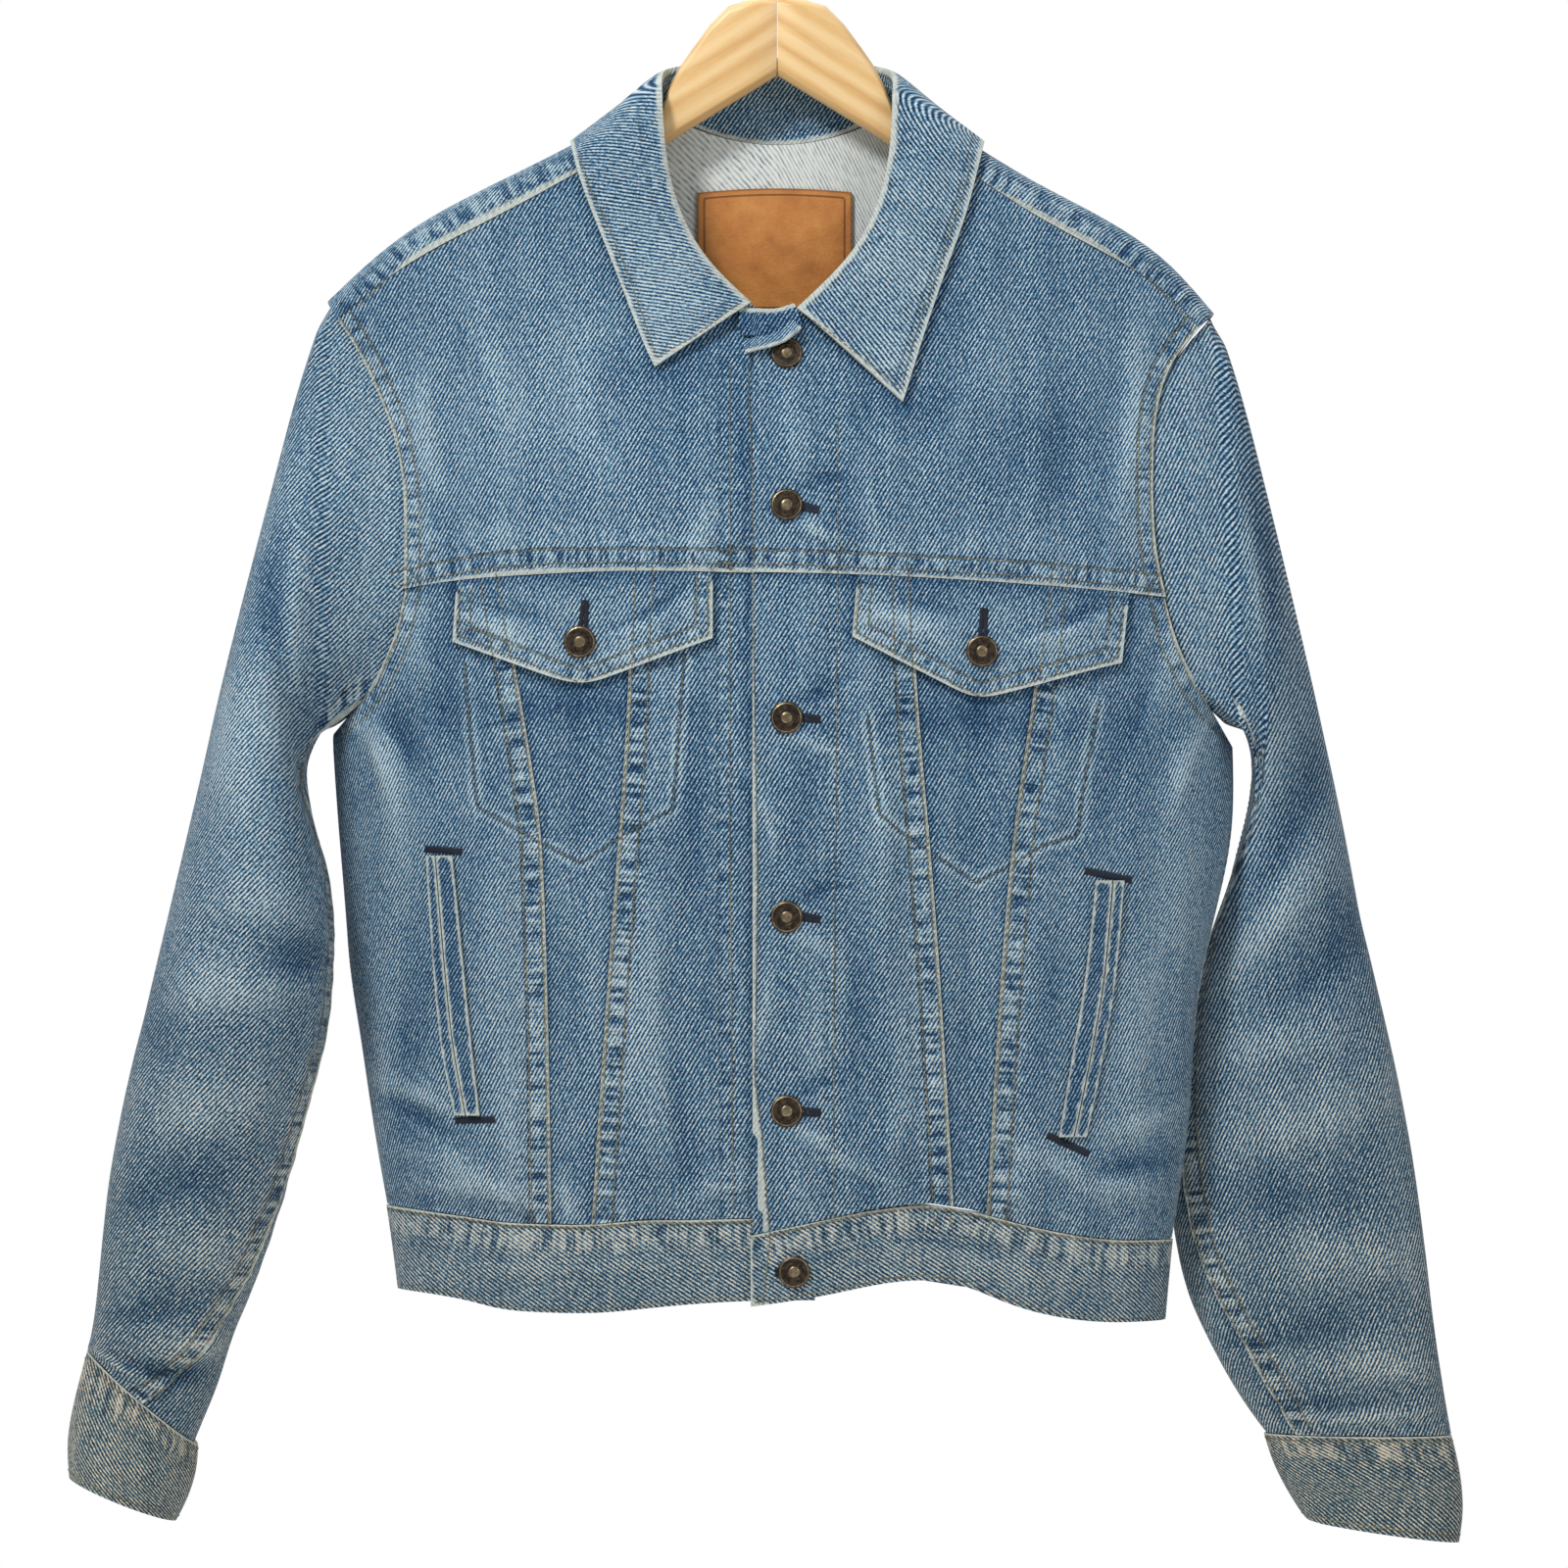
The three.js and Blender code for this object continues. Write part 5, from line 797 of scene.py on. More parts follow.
def makeBodyPiece(node, levels, width, length, area, slot):
    piece = clothShell(node, levels)
    points = readPoints(piece)
    flat = points[:, [0, 2]]
    face = 1 if "back" in node else -1
    u = bodyAcross(points, face) * (-1 if face > 0 and node != "back_yoke" else 1)
    v = points[:, 2].copy()
    if node == "back_yoke":
        ridge = np.polyval(ridgeCurve, np.abs(points[:, 0]))
        v = points[:, 1] + np.where(points[:, 1] < 0, points[:, 2], 2 * ridge - points[:, 2])
    front, back = bodyDisplacement(points)
    isBack = (points[:, 1] > 0) if face > 0 else np.zeros(len(points), dtype=bool)
    lift = np.where(isBack, back, -front)
    marks = blankMarks(len(points))
    for name, seam, low, high, rung in strips:
        if node.startswith(name):
            away, walked = fromLine(flat, asLine(seam))
            onSide = isBack if seam.startswith("back") else ~isBack
            inside = np.where(onSide, np.minimum(away - low, high - away), -20)
            addStrip(marks, inside, walked + 400 * lineOrder.index(seam), rung)
    for name, seam, side in wornEdges:
        if node.startswith(name):
            away, _ = fromLine(flat, asLine(seam))
            onSide = isBack if seam.startswith("back") else ~isBack
            marks["edge"] = np.where(onSide & (away * side > -3), np.minimum(marks["edge"], np.maximum(away * side, 0)),
                                     marks["edge"])
    if node.startswith("front_"):  # shaded beside the placket's edge
        away, _ = fromLine(flat, asLine("placket"))
        marks["tone"] -= 0.4 * np.exp(-np.abs(away) / 3.0) * (away < 0)
    yokeAway, _ = fromLine(flat, asLine("yoke"))
    if node.startswith("flap"):
        marks["edge"] = rimDistance(piece, points, yokeAway < -7.5)
        curl = 1.3 * np.exp(-marks["edge"] / 6) * (0.5 + 0.5 * np.sin(points[:, 0] / 11.0 + 1))
        lift = lift - curl * smoothStep((-points[:, 2] - 388) / 16)
    if node.startswith("welt"):
        marks["edge"] = rimDistance(piece, points) + 0.6
        marks["tone"] -= 0.3
    if node.startswith("waistband"):
        bandSeam = {"waistband_right": "bandRight", "waistband_left": "bandLeft", "waistband_back": "backBand"}[node]
        away, _ = fromLine(flat, asLine(bandSeam))
        kept = away > -5
        if node == "waistband_left":
            kept |= points[:, 0] < 0
        marks["edge"] = rimDistance(piece, points, kept) + 0.3
        # the stitched top of the band is paler, and a painted shadow line lies just below it
        marks["tone"] += 0.1 * np.exp(-((away + 8) / 8) ** 2) - 0.22 * np.exp(-((away + 18) / 2.6) ** 2)
        marks["grey"] += 0.62
    else:
        marks["grey"] += 0.05 + 0.15 * smoothStep((-points[:, 2] - 400) / 300)
    # tone table, then tone that follows the relief: raised cloth and crease crests paler where the denim wears, hollows
    # darker as painted shade
    marks["tone"] += toneAt(frontFadesAndShadows, points[:, 0], points[:, 2]) * (~isBack) + 0.07 * np.where(isBack, back, front)
    creases = creaseHeight(backCreases, points[:, 0], points[:, 2], 1.5) if face > 0 else creaseHeight(
        frontCreases, points[:, 0], points[:, 2], 1.5)
    marks["tone"] += 0.26 * creases * (isBack == (face > 0))
    if node.startswith("front_") and "yoke" not in node:
        for seam in ("bagRight", "bagLeft"):
            away, _ = fromLine(flat, asLine(seam))
            marks["bag"] = np.where(np.abs(away) < np.abs(marks["bag"]), away, marks["bag"])
        # painted shadow just below the yoke seam
        marks["tone"] -= 0.45 * np.exp(-np.maximum(-yokeAway, 0) / 3.5)
    for seam, depth, reach in (("flapRight", 0.4, 4), ("flapLeft", 0.4, 4), ("collarRight", 0.3, 6), ("collarLeft", 0.3, 6)):
        if node.startswith("front_") and ("yoke" in node) == seam.startswith("collar"):  # shaded beside what lies over it
            away, _ = fromLine(flat, asLine(seam))
            marks["tone"] -= depth * np.exp(-np.abs(away) / reach)
    if node.startswith("flap"):
        # flaps paler overall, with painted shade along their top where they meet the yoke seam
        marks["tone"] += 0.14 - 0.42 * np.exp(-np.maximum(-yokeAway - 2, 0) / 6.0)
    for seam, side in (("a", 1), ("b", -1), ("c", 1), ("d", -1)):  # painted shadow in the hollows beside the slanted seams
        if node.startswith("front_taper"):
            away, _ = fromLine(flat, asLine(seam))
            marks["tone"] -= 0.4 * np.exp(-np.maximum(away * side, 0) / 1.8) * (away * side > -2)
    points[:, 1] += lift
    writePoints(piece, points)
    setCloth(piece, u * mm, v * mm, marks)
    piece.data.materials.append(denimBand if "waistband" in node else denimBody)
    piece.data.materials.append(wrongSide)
    if node == "back_yoke":
        def innerYoke(centres, normals):
            away = centres - np.column_stack([centres[:, 0], 0 * centres[:, 0], np.interp(centres[:, 0], ridgeX, ridgeZ) - 24])
            return (away * normals).sum(axis=1) < -1.0
        faceSides(piece, innerYoke)
    elif node.startswith(("front_", "back_")):
        faceSides(piece, lambda centres, normals: normals[:, 1] * face < -0.25)
    finishSheet(piece, node)


for cut in bodyCuts:
    makeBodyPiece(*cut)
print("body pieces made")


# Sleeves and cuffs: node, side, part, levels, flat width and length, area, slot.
armCuts = [
    ("sleeve_top_right", "right", "top", 3, 0.25, 0.62, 0.117, "denim"), ("sleeve_top_left", "left", "top", 3, 0.26, 0.62, 0.120, "denim"),
    ("sleeve_under_right", "right", "under", 3, 0.10, 0.42, 0.020, "denim"),
    ("sleeve_under_left", "left", "under", 3, 0.10, 0.42, 0.0215, "denim"),
    ("cuff_right", "right", "cuff", 3, 0.24, 0.056, 0.0117, "worn_denim"), ("cuff_left", "left", "cuff", 3, 0.245, 0.056, 0.0125, "worn_denim"),
]
sleeveTones = {
    "right": [(0.1, 90, 0.1, 60, 0.1), (0.3, 80, 0.2, 40, 0.08), (0.6, 60, 0.2, 40, 0.05), (0.9, 60, 0.1, 60, -0.02),
              (0.97, 130, 0.04, 60, -0.12), (0.5, 140, 0.3, 24, -0.05)],
    "left": [(0.1, 90, 0.1, 60, -0.02), (0.35, 100, 0.2, 50, 0.06), (0.62, 50, 0.2, 40, -0.04), (0.9, 60, 0.1, 60, -0.05),
             (0.5, 140, 0.3, 24, 0.03)],
}


def makeArmPiece(node, side, part, levels, width, length, area, slot):
    piece = clothShell(node, levels)
    points = readPoints(piece)
    sections = cuffSections[side] if part == "cuff" else sleeveSections[side]
    t, degrees, walked, along, section = sleeveCoordinates(points, sections)
    marks = blankMarks(len(points))
    if part == "cuff":
        marks["edge"] = rimDistance(piece, points, along < 8) + 0.3
        u = walkAt(walked, degrees) * (1 if side == "right" else -1)
        v = -along
        behind = None
        addStrip(marks, np.minimum(along - 1, 14.5 - along), u, 0.8)
        height = np.zeros(len(points))
        for place, rise in ((20, 0.8), (48, -0.7), (78, 0.9), (102, -0.8), (128, 0.7), (158, -0.7), (200, 0.8), (240, -0.8),
                            (285, 0.8), (330, -0.7)):
            turned = (degrees - place + 180) % 360 - 180
            height += 1.3 * rise * np.exp(-(turned / 9) ** 2)
        height = height * np.exp(-((along - 8) / 6) ** 2)
        # pucker crests paler and their hollows darker as painted shade, a paler stitched band, and a painted shadow
        # line just past it
        marks["tone"] = 0.12 * height + 0.1 * np.exp(-((along - 8) / 8) ** 2) - 0.24 * np.exp(-((along - 18) / 2.6) ** 2)
        marks["grey"] += 1.0
    else:
        # the cloth is unrolled beside its own section, then laid with its grain along the sleeve
        folded = np.where(degrees > 180, 360 - degrees, degrees)
        inward = section[:, 2:4] - section[:, 0:2]
        reach = np.hypot(inward[:, 0], inward[:, 1]) / 2
        extra = walkAt(walked, folded) - walkAt(walked, np.full(len(t), 90.0)) + reach * np.cos(np.radians(folded))
        laid = points[:, [0, 2]] + inward / (2 * reach[:, None]) * extra[:, None]
        grain = np.array(sections[-1][:2]) + np.array(sections[-1][2:4]) - np.array(sections[2][:2]) - np.array(sections[2][2:4])
        grain /= np.hypot(*grain)
        u, v = laid @ np.array([-grain[1], grain[0]]), -(laid @ grain)
        behind = degrees > 180
        seams = sleeveSeams[side]
        frontSeam = np.interp(t, seams[:, 0], seams[:, 1])
        backSeam = np.interp(t, seams[:, 0], seams[:, 2])
        if part == "top":
            degrees = np.where(degrees > (frontSeam + backSeam) / 2, degrees - 360, degrees)
            whole = walkAt(walked, np.full(len(t), 360.0))
            round0 = walkAt(walked, degrees + 360) - whole
            away = walkAt(walked, frontSeam) - round0
            awayBack = round0 - walkAt(walked, backSeam) + whole
            addStrip(marks, np.minimum(away - 0.5, 11.5 - away), along + 40, 1.0)
            addStrip(marks, np.minimum(awayBack - 0.5, 11.5 - awayBack), along + 900, 1.0)
            marks["edge"] = np.maximum(np.minimum(away, awayBack), 0)
        else:
            away = walkAt(walked, degrees) - walkAt(walked, frontSeam)
            # painted shadow along the front seam, where the top sleeve's felled edge lies over the under sleeve
            marks["tone"] -= 0.4 * np.exp(-np.abs(away) / 1.8)
        height = sleeveHeight(sleeveCreases[side], t, degrees)
        ripple = np.sin(along / 3.1 + 1.3 * np.sin(along / 17.0)) * np.exp(-((away - 8) / 9) ** 2) * 0.4
        height = height + ripple * smoothStep(t / 0.1) * smoothStep((1 - t) / 0.04)
        # wash clouds, then tone that follows the creases: crests paler where the denim wears, hollows darker as painted
        # shade
        marks["tone"] += toneAt(sleeveTones[side], t, np.where(degrees < -90, degrees + 360, degrees)) + 0.18 * height
        marks["tone"] += 0.14 * np.exp(-np.maximum(along, 0) / 5.0)
        marks["grey"] = 0.15 + 0.5 * smoothStep((t - 0.3) / 0.6)
    axis = np.column_stack([(section[:, 0] + section[:, 2]) / 2, section[:, 4], (section[:, 1] + section[:, 3]) / 2])
    outward = points - axis
    outward /= np.linalg.norm(outward, axis=1)[:, None]
    if part != "cuff":
        normals = np.empty(len(points) * 3)
        piece.data.vertices.foreach_get("normal", normals)
        normals = normals.reshape(-1, 3)
        inner = smoothStep(-(normals * outward).sum(axis=1) / 0.3)
        front, back = bodyDisplacement(points)
        points[:, 1] += np.where(points[:, 1] > 0, back, -front) * (1 - smoothStep(t / 0.12))
        points += normals * (1.4 * inner * smoothStep(rimDistance(piece, points) / 8))[:, None]  # keeps the inner wall inside
        tuck = 1 - smoothStep(along / 12)  # the sleeve's end goes under the body's edge
        points[:, 0] += (3.0 if side == "right" else -3.0) * tuck
        points[:, 1] -= 1.6 * tuck * np.sign(points[:, 1] - section[:, 4])
    writePoints(piece, points + outward * height[:, None])
    setCloth(piece, u * mm, v * mm, marks, behind)
    piece.data.materials.append(denimBand if part == "cuff" else denimBody)
    piece.data.materials.append(wrongSide)
    finishSheet(piece, node)


def treeOf(nodes):
    points, faces, start = [], [], 0
    for node in nodes:
        mesh = madeCloth[node].data
        points += [v.co.copy() for v in mesh.vertices]
        faces += [tuple(start + k for k in f.vertices) for f in mesh.polygons]
        start += len(mesh.vertices)
    return BVHTree.FromPolygons(points, faces)


def turnSleevesOut(side):  # a face that looks at the opposite wall of its sleeve is the wrong side
    tree = treeOf(["sleeve_top_" + side, "sleeve_under_" + side])

    def innerArm(centres, normals):
        return np.array([tree.ray_cast(Vector((c + n * 1.4) * mm), Vector(n), 0.2)[0] is not None
                         for c, n in zip(centres, normals)])
    for part in ("top", "under"):
        faceSides(madeCloth["sleeve_" + part + "_" + side], innerArm)


for cut in armCuts:
    makeArmPiece(*cut)
turnSleevesOut("right")
turnSleevesOut("left")
print("sleeves and cuffs made")


# The collar: both sides show the outside of the cloth.
collarLook = {"levels": 3, "flat": (0.45, 0.1), "area": 0.0406, "edgeStitch": 3.4}


def makeCollar():
    piece = clothShell("collar", collarLook["levels"])
    points = readPoints(piece)
    front, _ = bodyDisplacement(points)
    rim = rimDistance(piece, points)
    sideways = np.abs(points[:, 0])
    leaf = smoothStep((-points[:, 2] - 150) / 50) * (points[:, 1] < 0)
    ripple = 0.5 * np.sin(points[:, 2] / 7.0 + np.sign(points[:, 0])) * np.exp(-((rim - 6) / 7) ** 2) * leaf
    points[:, 1] += -front * leaf - ripple * 0.6
    writePoints(piece, points)
    turn = np.radians(np.where(points[:, 0] < 0, -69, 73)) * smoothStep((18 - points[:, 1]) / 42)
    besides = points[:, 0] - 88 * np.sign(points[:, 0])
    below = points[:, 2] + 130
    u = besides * np.cos(turn) + below * np.sin(turn) + 88 * np.sign(points[:, 0])
    v = -besides * np.sin(turn) + below * np.cos(turn) + 0.8 * points[:, 1]
    marks = blankMarks(len(points))
    marks["edge"] = rim
    addStrip(marks, np.minimum(rim - 2.5, 7.5 - rim), 0.8 * u + 0.6 * v, 0.5)
    # tone: painted shade near the neck, ripple crests paler and hollows darker as painted shade, leaves paler
    shade = np.exp(-((sideways - 30) / 26) ** 2) * np.exp(-((points[:, 2] + 128) / 14) ** 2)
    marks["tone"] = 0.08 + 0.14 * ripple - 0.2 * shade + 0.12 * np.exp(-(((sideways - 60) / 22) ** 2)) * leaf
    marks["grey"] += 0.1
    setCloth(piece, u * mm, v * mm, marks)
    piece.data.materials.append(denimCollar)
    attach(piece, "root")
    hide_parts("collar")
    madeCloth["collar"] = piece


makeCollar()


turnedEdges = {
    # line: across, height; rows: how far to the line's left, how far before the cloth below
    "placketRoll": {"step": 2, "line": [(-17, -256.5), (-11, -255.2), (-4, -253.6), (3, -251.2), (8, -247.8), (12.5, -243.5)],
                    "rows": [(6.8, 0.6), (4.6, 2.4), (2.3, 5.0), (0.4, 6.4), (-0.7, 6.0), (-0.9, 4.8)], "flat": (0.036, 0.013)},
    "standEnd": {"step": 2, "line": [(-21, -247), (-14, -247.5), (-7, -248), (0, -248), (7, -246.5), (14, -244)],
                 "rows": [(14.5, 0.3), (12.6, 1.2), (9, 1.5), (5, 1.3), (0, 1.0)], "flat": (0.036, 0.0145)},
}


def makeTurnedEdge(name, look):
    carrier = treeOf([node for node in madeCloth if node.startswith(("front_", "waistband_"))])
    columns = np.array(look["line"], dtype=float)
    walked = np.concatenate([[0], np.cumsum(np.hypot(*np.diff(columns, axis=0).T))])
    places = np.linspace(0, walked[-1], int(walked[-1] / look["step"]) + 2)
    columns = np.column_stack([np.interp(places, walked, columns[:, k]) for k in range(2)])
    steps = np.gradient(columns, axis=0)
    steps /= np.hypot(*steps.T)[:, None]
    points = []
    for (x, z), (dx, dz) in zip(columns, steps):
        for up, forward in look["rows"]:
            own = (x - dz * up, z + dx * up)
            hit = carrier.ray_cast(Vector((own[0] * mm, -0.3, min(own[1], -252) * mm)), Vector((0, 1, 0)))[0]
            wave = 0.3 * math.sin(x * 0.7 + up) if look["step"] < 5 else 0
            points.append((own[0], hit.y / mm - forward - wave, own[1]))
    count, wide = len(look["rows"]), len(columns)
    faces = [(a * count + b, a * count + b + 1, (a + 1) * count + b + 1, (a + 1) * count + b)
             for a in range(wide - 1) for b in range(count - 1)]
    mesh = bpy.data.meshes.new(name)
    mesh.from_pydata([tuple(c * mm for c in p) for p in points], [], faces)
    piece = bpy.data.objects.new(name, mesh)
    bpy.context.collection.objects.link(piece)
    pickOnly(piece)
    smoothing = piece.modifiers.new("clothSmoothing", "SUBSURF")
    smoothing.levels = smoothing.render_levels = 2
    bpy.ops.object.modifier_apply(modifier=smoothing.name)
    spots = readPoints(piece)
    marks = blankMarks(len(spots))
    away, _ = fromLine(spots[:, [0, 2]], np.array(look["line"], dtype=float))
    if name == "standEnd":
        marks["edge"] = np.maximum(14.0 - away, 0)
        marks["tone"] -= 0.3
    else:
        marks["edge"] = np.maximum(away + 0.6, 0)
        marks["tone"] += toneAt(frontFadesAndShadows, spots[:, 0], spots[:, 2])
    setCloth(piece, spots[:, 0] * mm, (spots[:, 2] + spots[:, 1]) * mm, marks)
    piece.data.materials.append(denimBody)
    piece.data.materials.append(denimBody)
    thicken(piece)
    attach(piece, "root")


for edgeName, edgeLook in turnedEdges.items():
    makeTurnedEdge(edgeName, edgeLook)


def makePatch():
    piece = clothShell("label_patch", 3)
    points = readPoints(piece)
    _, back = bodyDisplacement(points)
    rim = rimDistance(piece, points)
    x, z = points[:, 0], points[:, 2]
    dent = 0.5 * np.exp(-(((x + 20) * 0.8 + (z + 205)) / 5) ** 2) - 0.5 * np.exp(-(((x - 18) * 0.5 - (z + 190)) / 6) ** 2)
    points[:, 1] += back + dent * smoothStep(rim / 8)
    writePoints(piece, points)
    setAttribute(piece, "edge", rim)
    piece.data.materials.append(leatherMaterial())
    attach(piece, "root")
    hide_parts("label_patch")


makePatch()
print("collar and patch made")


# Buttons are turned once and copied.
buttonLook = {
    "radius": 8.5, "foot": 1.0,
    # each step: inset, then rise, of the face turned so far
    "steps": [(0.7, 0.5), (0.5, 0.15), (0.35, -0.35), (0.9, 0.0), (0.9, 0.0), (0.35, 0.35), (0.5, 0.05), (0.35, -0.3),
              (0.8, 0.0), (0.25, 0.35), (0.7, 0.25), (0.8, 0.1)],
}
bronze = metalMaterial("agedBronze", (0.035, 0.027, 0.022), (0.1, 0.075, 0.052), 0.38, 420.0)
brassRing = metalMaterial("rubbedBrass", (0.17, 0.13, 0.08), (0.34, 0.27, 0.17), 0.32, 500.0)


def turnButton():
    bpy.ops.object.select_all(action="DESELECT")
    bpy.ops.mesh.primitive_circle_add(vertices=28, radius=buttonLook["radius"] * mm, fill_type="NGON")
    button = bpy.context.object
    button.name = "buttonMaster"
    bpy.ops.object.mode_set(mode="EDIT")
    bpy.ops.mesh.select_all(action="SELECT")
    bpy.ops.mesh.extrude_region_move(TRANSFORM_OT_translate={"value": (0, 0, buttonLook["foot"] * mm)})
    for inset, rise in buttonLook["steps"]:
        bpy.ops.mesh.inset(thickness=inset * mm, depth=0)
        bpy.ops.transform.translate(value=(0, 0, rise * mm))
    bpy.ops.object.mode_set(mode="OBJECT")
    bpy.ops.object.shade_smooth_by_angle(angle=math.radians(35))
    button.data.materials.append(bronze)
    button.data.materials.append(brassRing)
    for face in button.data.polygons:
        reach = math.hypot(face.center.x, face.center.y) / mm
        face.material_index = 1 if reach < 3.4 or 7.2 < reach < 7.7 else 0
    return button


def placeButton(master, node):
    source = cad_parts[node].data
    points = np.array([v.co[:] for v in source.vertices])
    middle = (points.min(axis=0) + points.max(axis=0)) / 2
    centred = points - points.mean(axis=0)
    axis = np.linalg.svd(centred, full_matrices=False)[2][2]
    axis = Vector(axis)
    facing = Vector((0, 1, 0)) if node.startswith("cuff") else Vector((0, -1, 0))
    if axis.dot(facing) < 0:
        axis = -axis
    piece = bpy.data.objects.new(node + "_cap", master.data.copy())
    bpy.context.collection.objects.link(piece)
    lowest = min(float(Vector(p - middle).dot(axis)) for p in points)
    turn = axis.to_track_quat("Z", "Y").to_matrix().to_4x4()
    piece.data.transform(Matrix.Translation(Vector(middle) + axis * lowest) @ turn)
    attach(piece, "root")
    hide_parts(node)
    return piece


buttonMaster = turnButton()
for node in [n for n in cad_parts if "button" in n]:
    placeButton(buttonMaster, node)
bpy.data.objects.remove(buttonMaster)
print("buttons made")


def makeRigid(node, name, material, levels, sharp, smoothAngle):
    piece = mergedCopy(node, name)
    if levels:
        smoothing = piece.modifiers.new("rounding", "SUBSURF")
        smoothing.levels = smoothing.render_levels = levels
        pickOnly(piece)
        bpy.ops.object.modifier_apply(modifier=smoothing.name)
    else:
        rounding = piece.modifiers.new("rounding", "BEVEL")
        rounding.width = 0.0007
        rounding.segments = 2
        rounding.angle_limit = math.radians(sharp)
        rounding.harden_normals = False
        pickOnly(piece)
        bpy.ops.object.modifier_apply(modifier=rounding.name)
    bpy.ops.object.shade_smooth_by_angle(angle=math.radians(smoothAngle))
    piece.data.materials.append(material)
    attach(piece, "root")
    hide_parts(node)
    return piece


makeRigid("hanger_arm_right", "hanger_arm_right_wood", woodMaterial("beechRight", 32), 0, 30, 40)
makeRigid("hanger_arm_left", "hanger_arm_left_wood", woodMaterial("beechLeft", -32), 0, 30, 40)
makeRigid("hanger_hook", "hanger_hook_wire", metalMaterial("polishedWire", (0.6, 0.6, 0.6), (0.72, 0.72, 0.72), 0.2, 60.0),
          2, 30, 60)
print("hanger made")


# Sewing: one stitch is modelled, then laid along each row.
stitchLook = {"length": 3.0, "pitch": 3.4, "wide": 0.44, "sunk": 0.08}


def modelStitch():
    bpy.ops.object.select_all(action="DESELECT")
    bpy.ops.mesh.primitive_uv_sphere_add(segments=4, ring_count=3, radius=0.5)
    stitch = bpy.context.object
    bpy.ops.object.mode_set(mode="EDIT")
    bpy.ops.mesh.select_all(action="SELECT")
    bpy.ops.mesh.quads_convert_to_tris()
    bpy.ops.object.mode_set(mode="OBJECT")
    points = np.array([v.co[:] for v in stitch.data.vertices])
    faces = np.array([tuple(f.vertices) for f in stitch.data.polygons])
    bpy.data.objects.remove(stitch)
    return points, faces


stitchPoints, stitchFaces = modelStitch()


frontTree = treeOf([n for n in madeCloth if not n.startswith("back") and "waistband_back" not in n])
backTree = treeOf([n for n in madeCloth if n.startswith(("back", "waistband_back", "sleeve", "cuff", "collar"))])


def spaced(line, pitch):
    line = np.array(line, dtype=float)
    lengths = np.concatenate([[0], np.cumsum(np.hypot(*np.diff(line, axis=0).T))])
    count = max(2, int(round(lengths[-1] / pitch)))
    places = (np.arange(count) + 0.5) * lengths[-1] / count
    return np.column_stack([np.interp(places, lengths, line[:, k]) for k in range(2)]), places / lengths[-1]


def beside(line, offset):  # the line moved to its left
    line = np.array(line, dtype=float)
    steps = np.gradient(line, axis=0)
    steps /= np.hypot(*steps.T)[:, None]
    return line + np.column_stack([-steps[:, 1], steps[:, 0]]) * offset


def project(x, z, face):
    start = Vector((x * mm, face * 0.4, z * mm))
    hit, normal, _, _ = (frontTree if face < 0 else backTree).ray_cast(start, Vector((0, -face, 0)))
    return hit, normal


def layStitches(rows, name, material):
    spots = []
    for line, face, pitch, length in rows:
        places, _ = spaced(line, pitch)
        steps = np.gradient(places, axis=0) if len(places) > 1 else np.array([[1.0, 0]])
        for (x, z), (dx, dz) in zip(places, steps):
            size = math.hypot(dx, dz) or 1
            hit, normal = project(x, z, face)
            ahead, _ = project(x + dx / size * 0.8, z + dz / size * 0.8, face)
            if hit is None or ahead is None or normal.y * face < 0.02:
                continue
            along = ahead - hit
            if abs(along.y) > 0.0016:
                continue
            along = along.normalized()
            spots.append((hit, normal, along, length))
    return gatherStitches(spots, name, material, stitchLook["wide"])


def gatherStitches(spots, name, material, wide):
    points, faces = [], []
    for count, (hit, normal, along, length) in enumerate(spots):
        side = normal.cross(along).normalized()
        up = along.cross(side)
        basis = np.array([side[:], up[:], along[:]])
        size = np.array([wide * 2, wide * 1.5, length]) * mm
        base = np.array(hit[:]) + np.array(up[:]) * stitchLook["sunk"] * mm
        points.append(stitchPoints * size @ basis + base)
        faces.append(stitchFaces + count * len(stitchPoints))
    points, faces = np.concatenate(points), np.concatenate(faces)
    mesh = bpy.data.meshes.new(name)
    mesh.from_pydata([tuple(p) for p in points], [], [tuple(int(k) for k in f) for f in faces])
    piece = bpy.data.objects.new(name, mesh)
    bpy.context.collection.objects.link(piece)
    mesh.polygons.foreach_set("use_smooth", [True] * len(mesh.polygons))
    mesh.materials.append(material)
    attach(piece, "root")
    print(name, len(spots), "stitches")
    return piece


def line(name, offset=0.0):
    return beside(seamLines[name], offset)


pitch, stitch = stitchLook["pitch"], stitchLook["length"]


def inset(edge, away):  # the edge moved in, its corners kept sharp
    edge = np.array(edge, dtype=float)
    lines = []
    for a, b in zip(edge[:-1], edge[1:]):
        step = (b - a) / np.hypot(*(b - a))
        lines.append((a + np.array([-step[1], step[0]]) * away, step))
    corners = [lines[0][0]]
    for (p, d), (q, e) in zip(lines[:-1], lines[1:]):
        share = ((q - p)[0] * e[1] - (q - p)[1] * e[0]) / (d[0] * e[1] - d[1] * e[0])
        corners.append(p + d * share)
    last, step = lines[-1]
    corners.append(last + step * np.hypot(*(edge[-1] - edge[-2])))
    return np.array(corners)


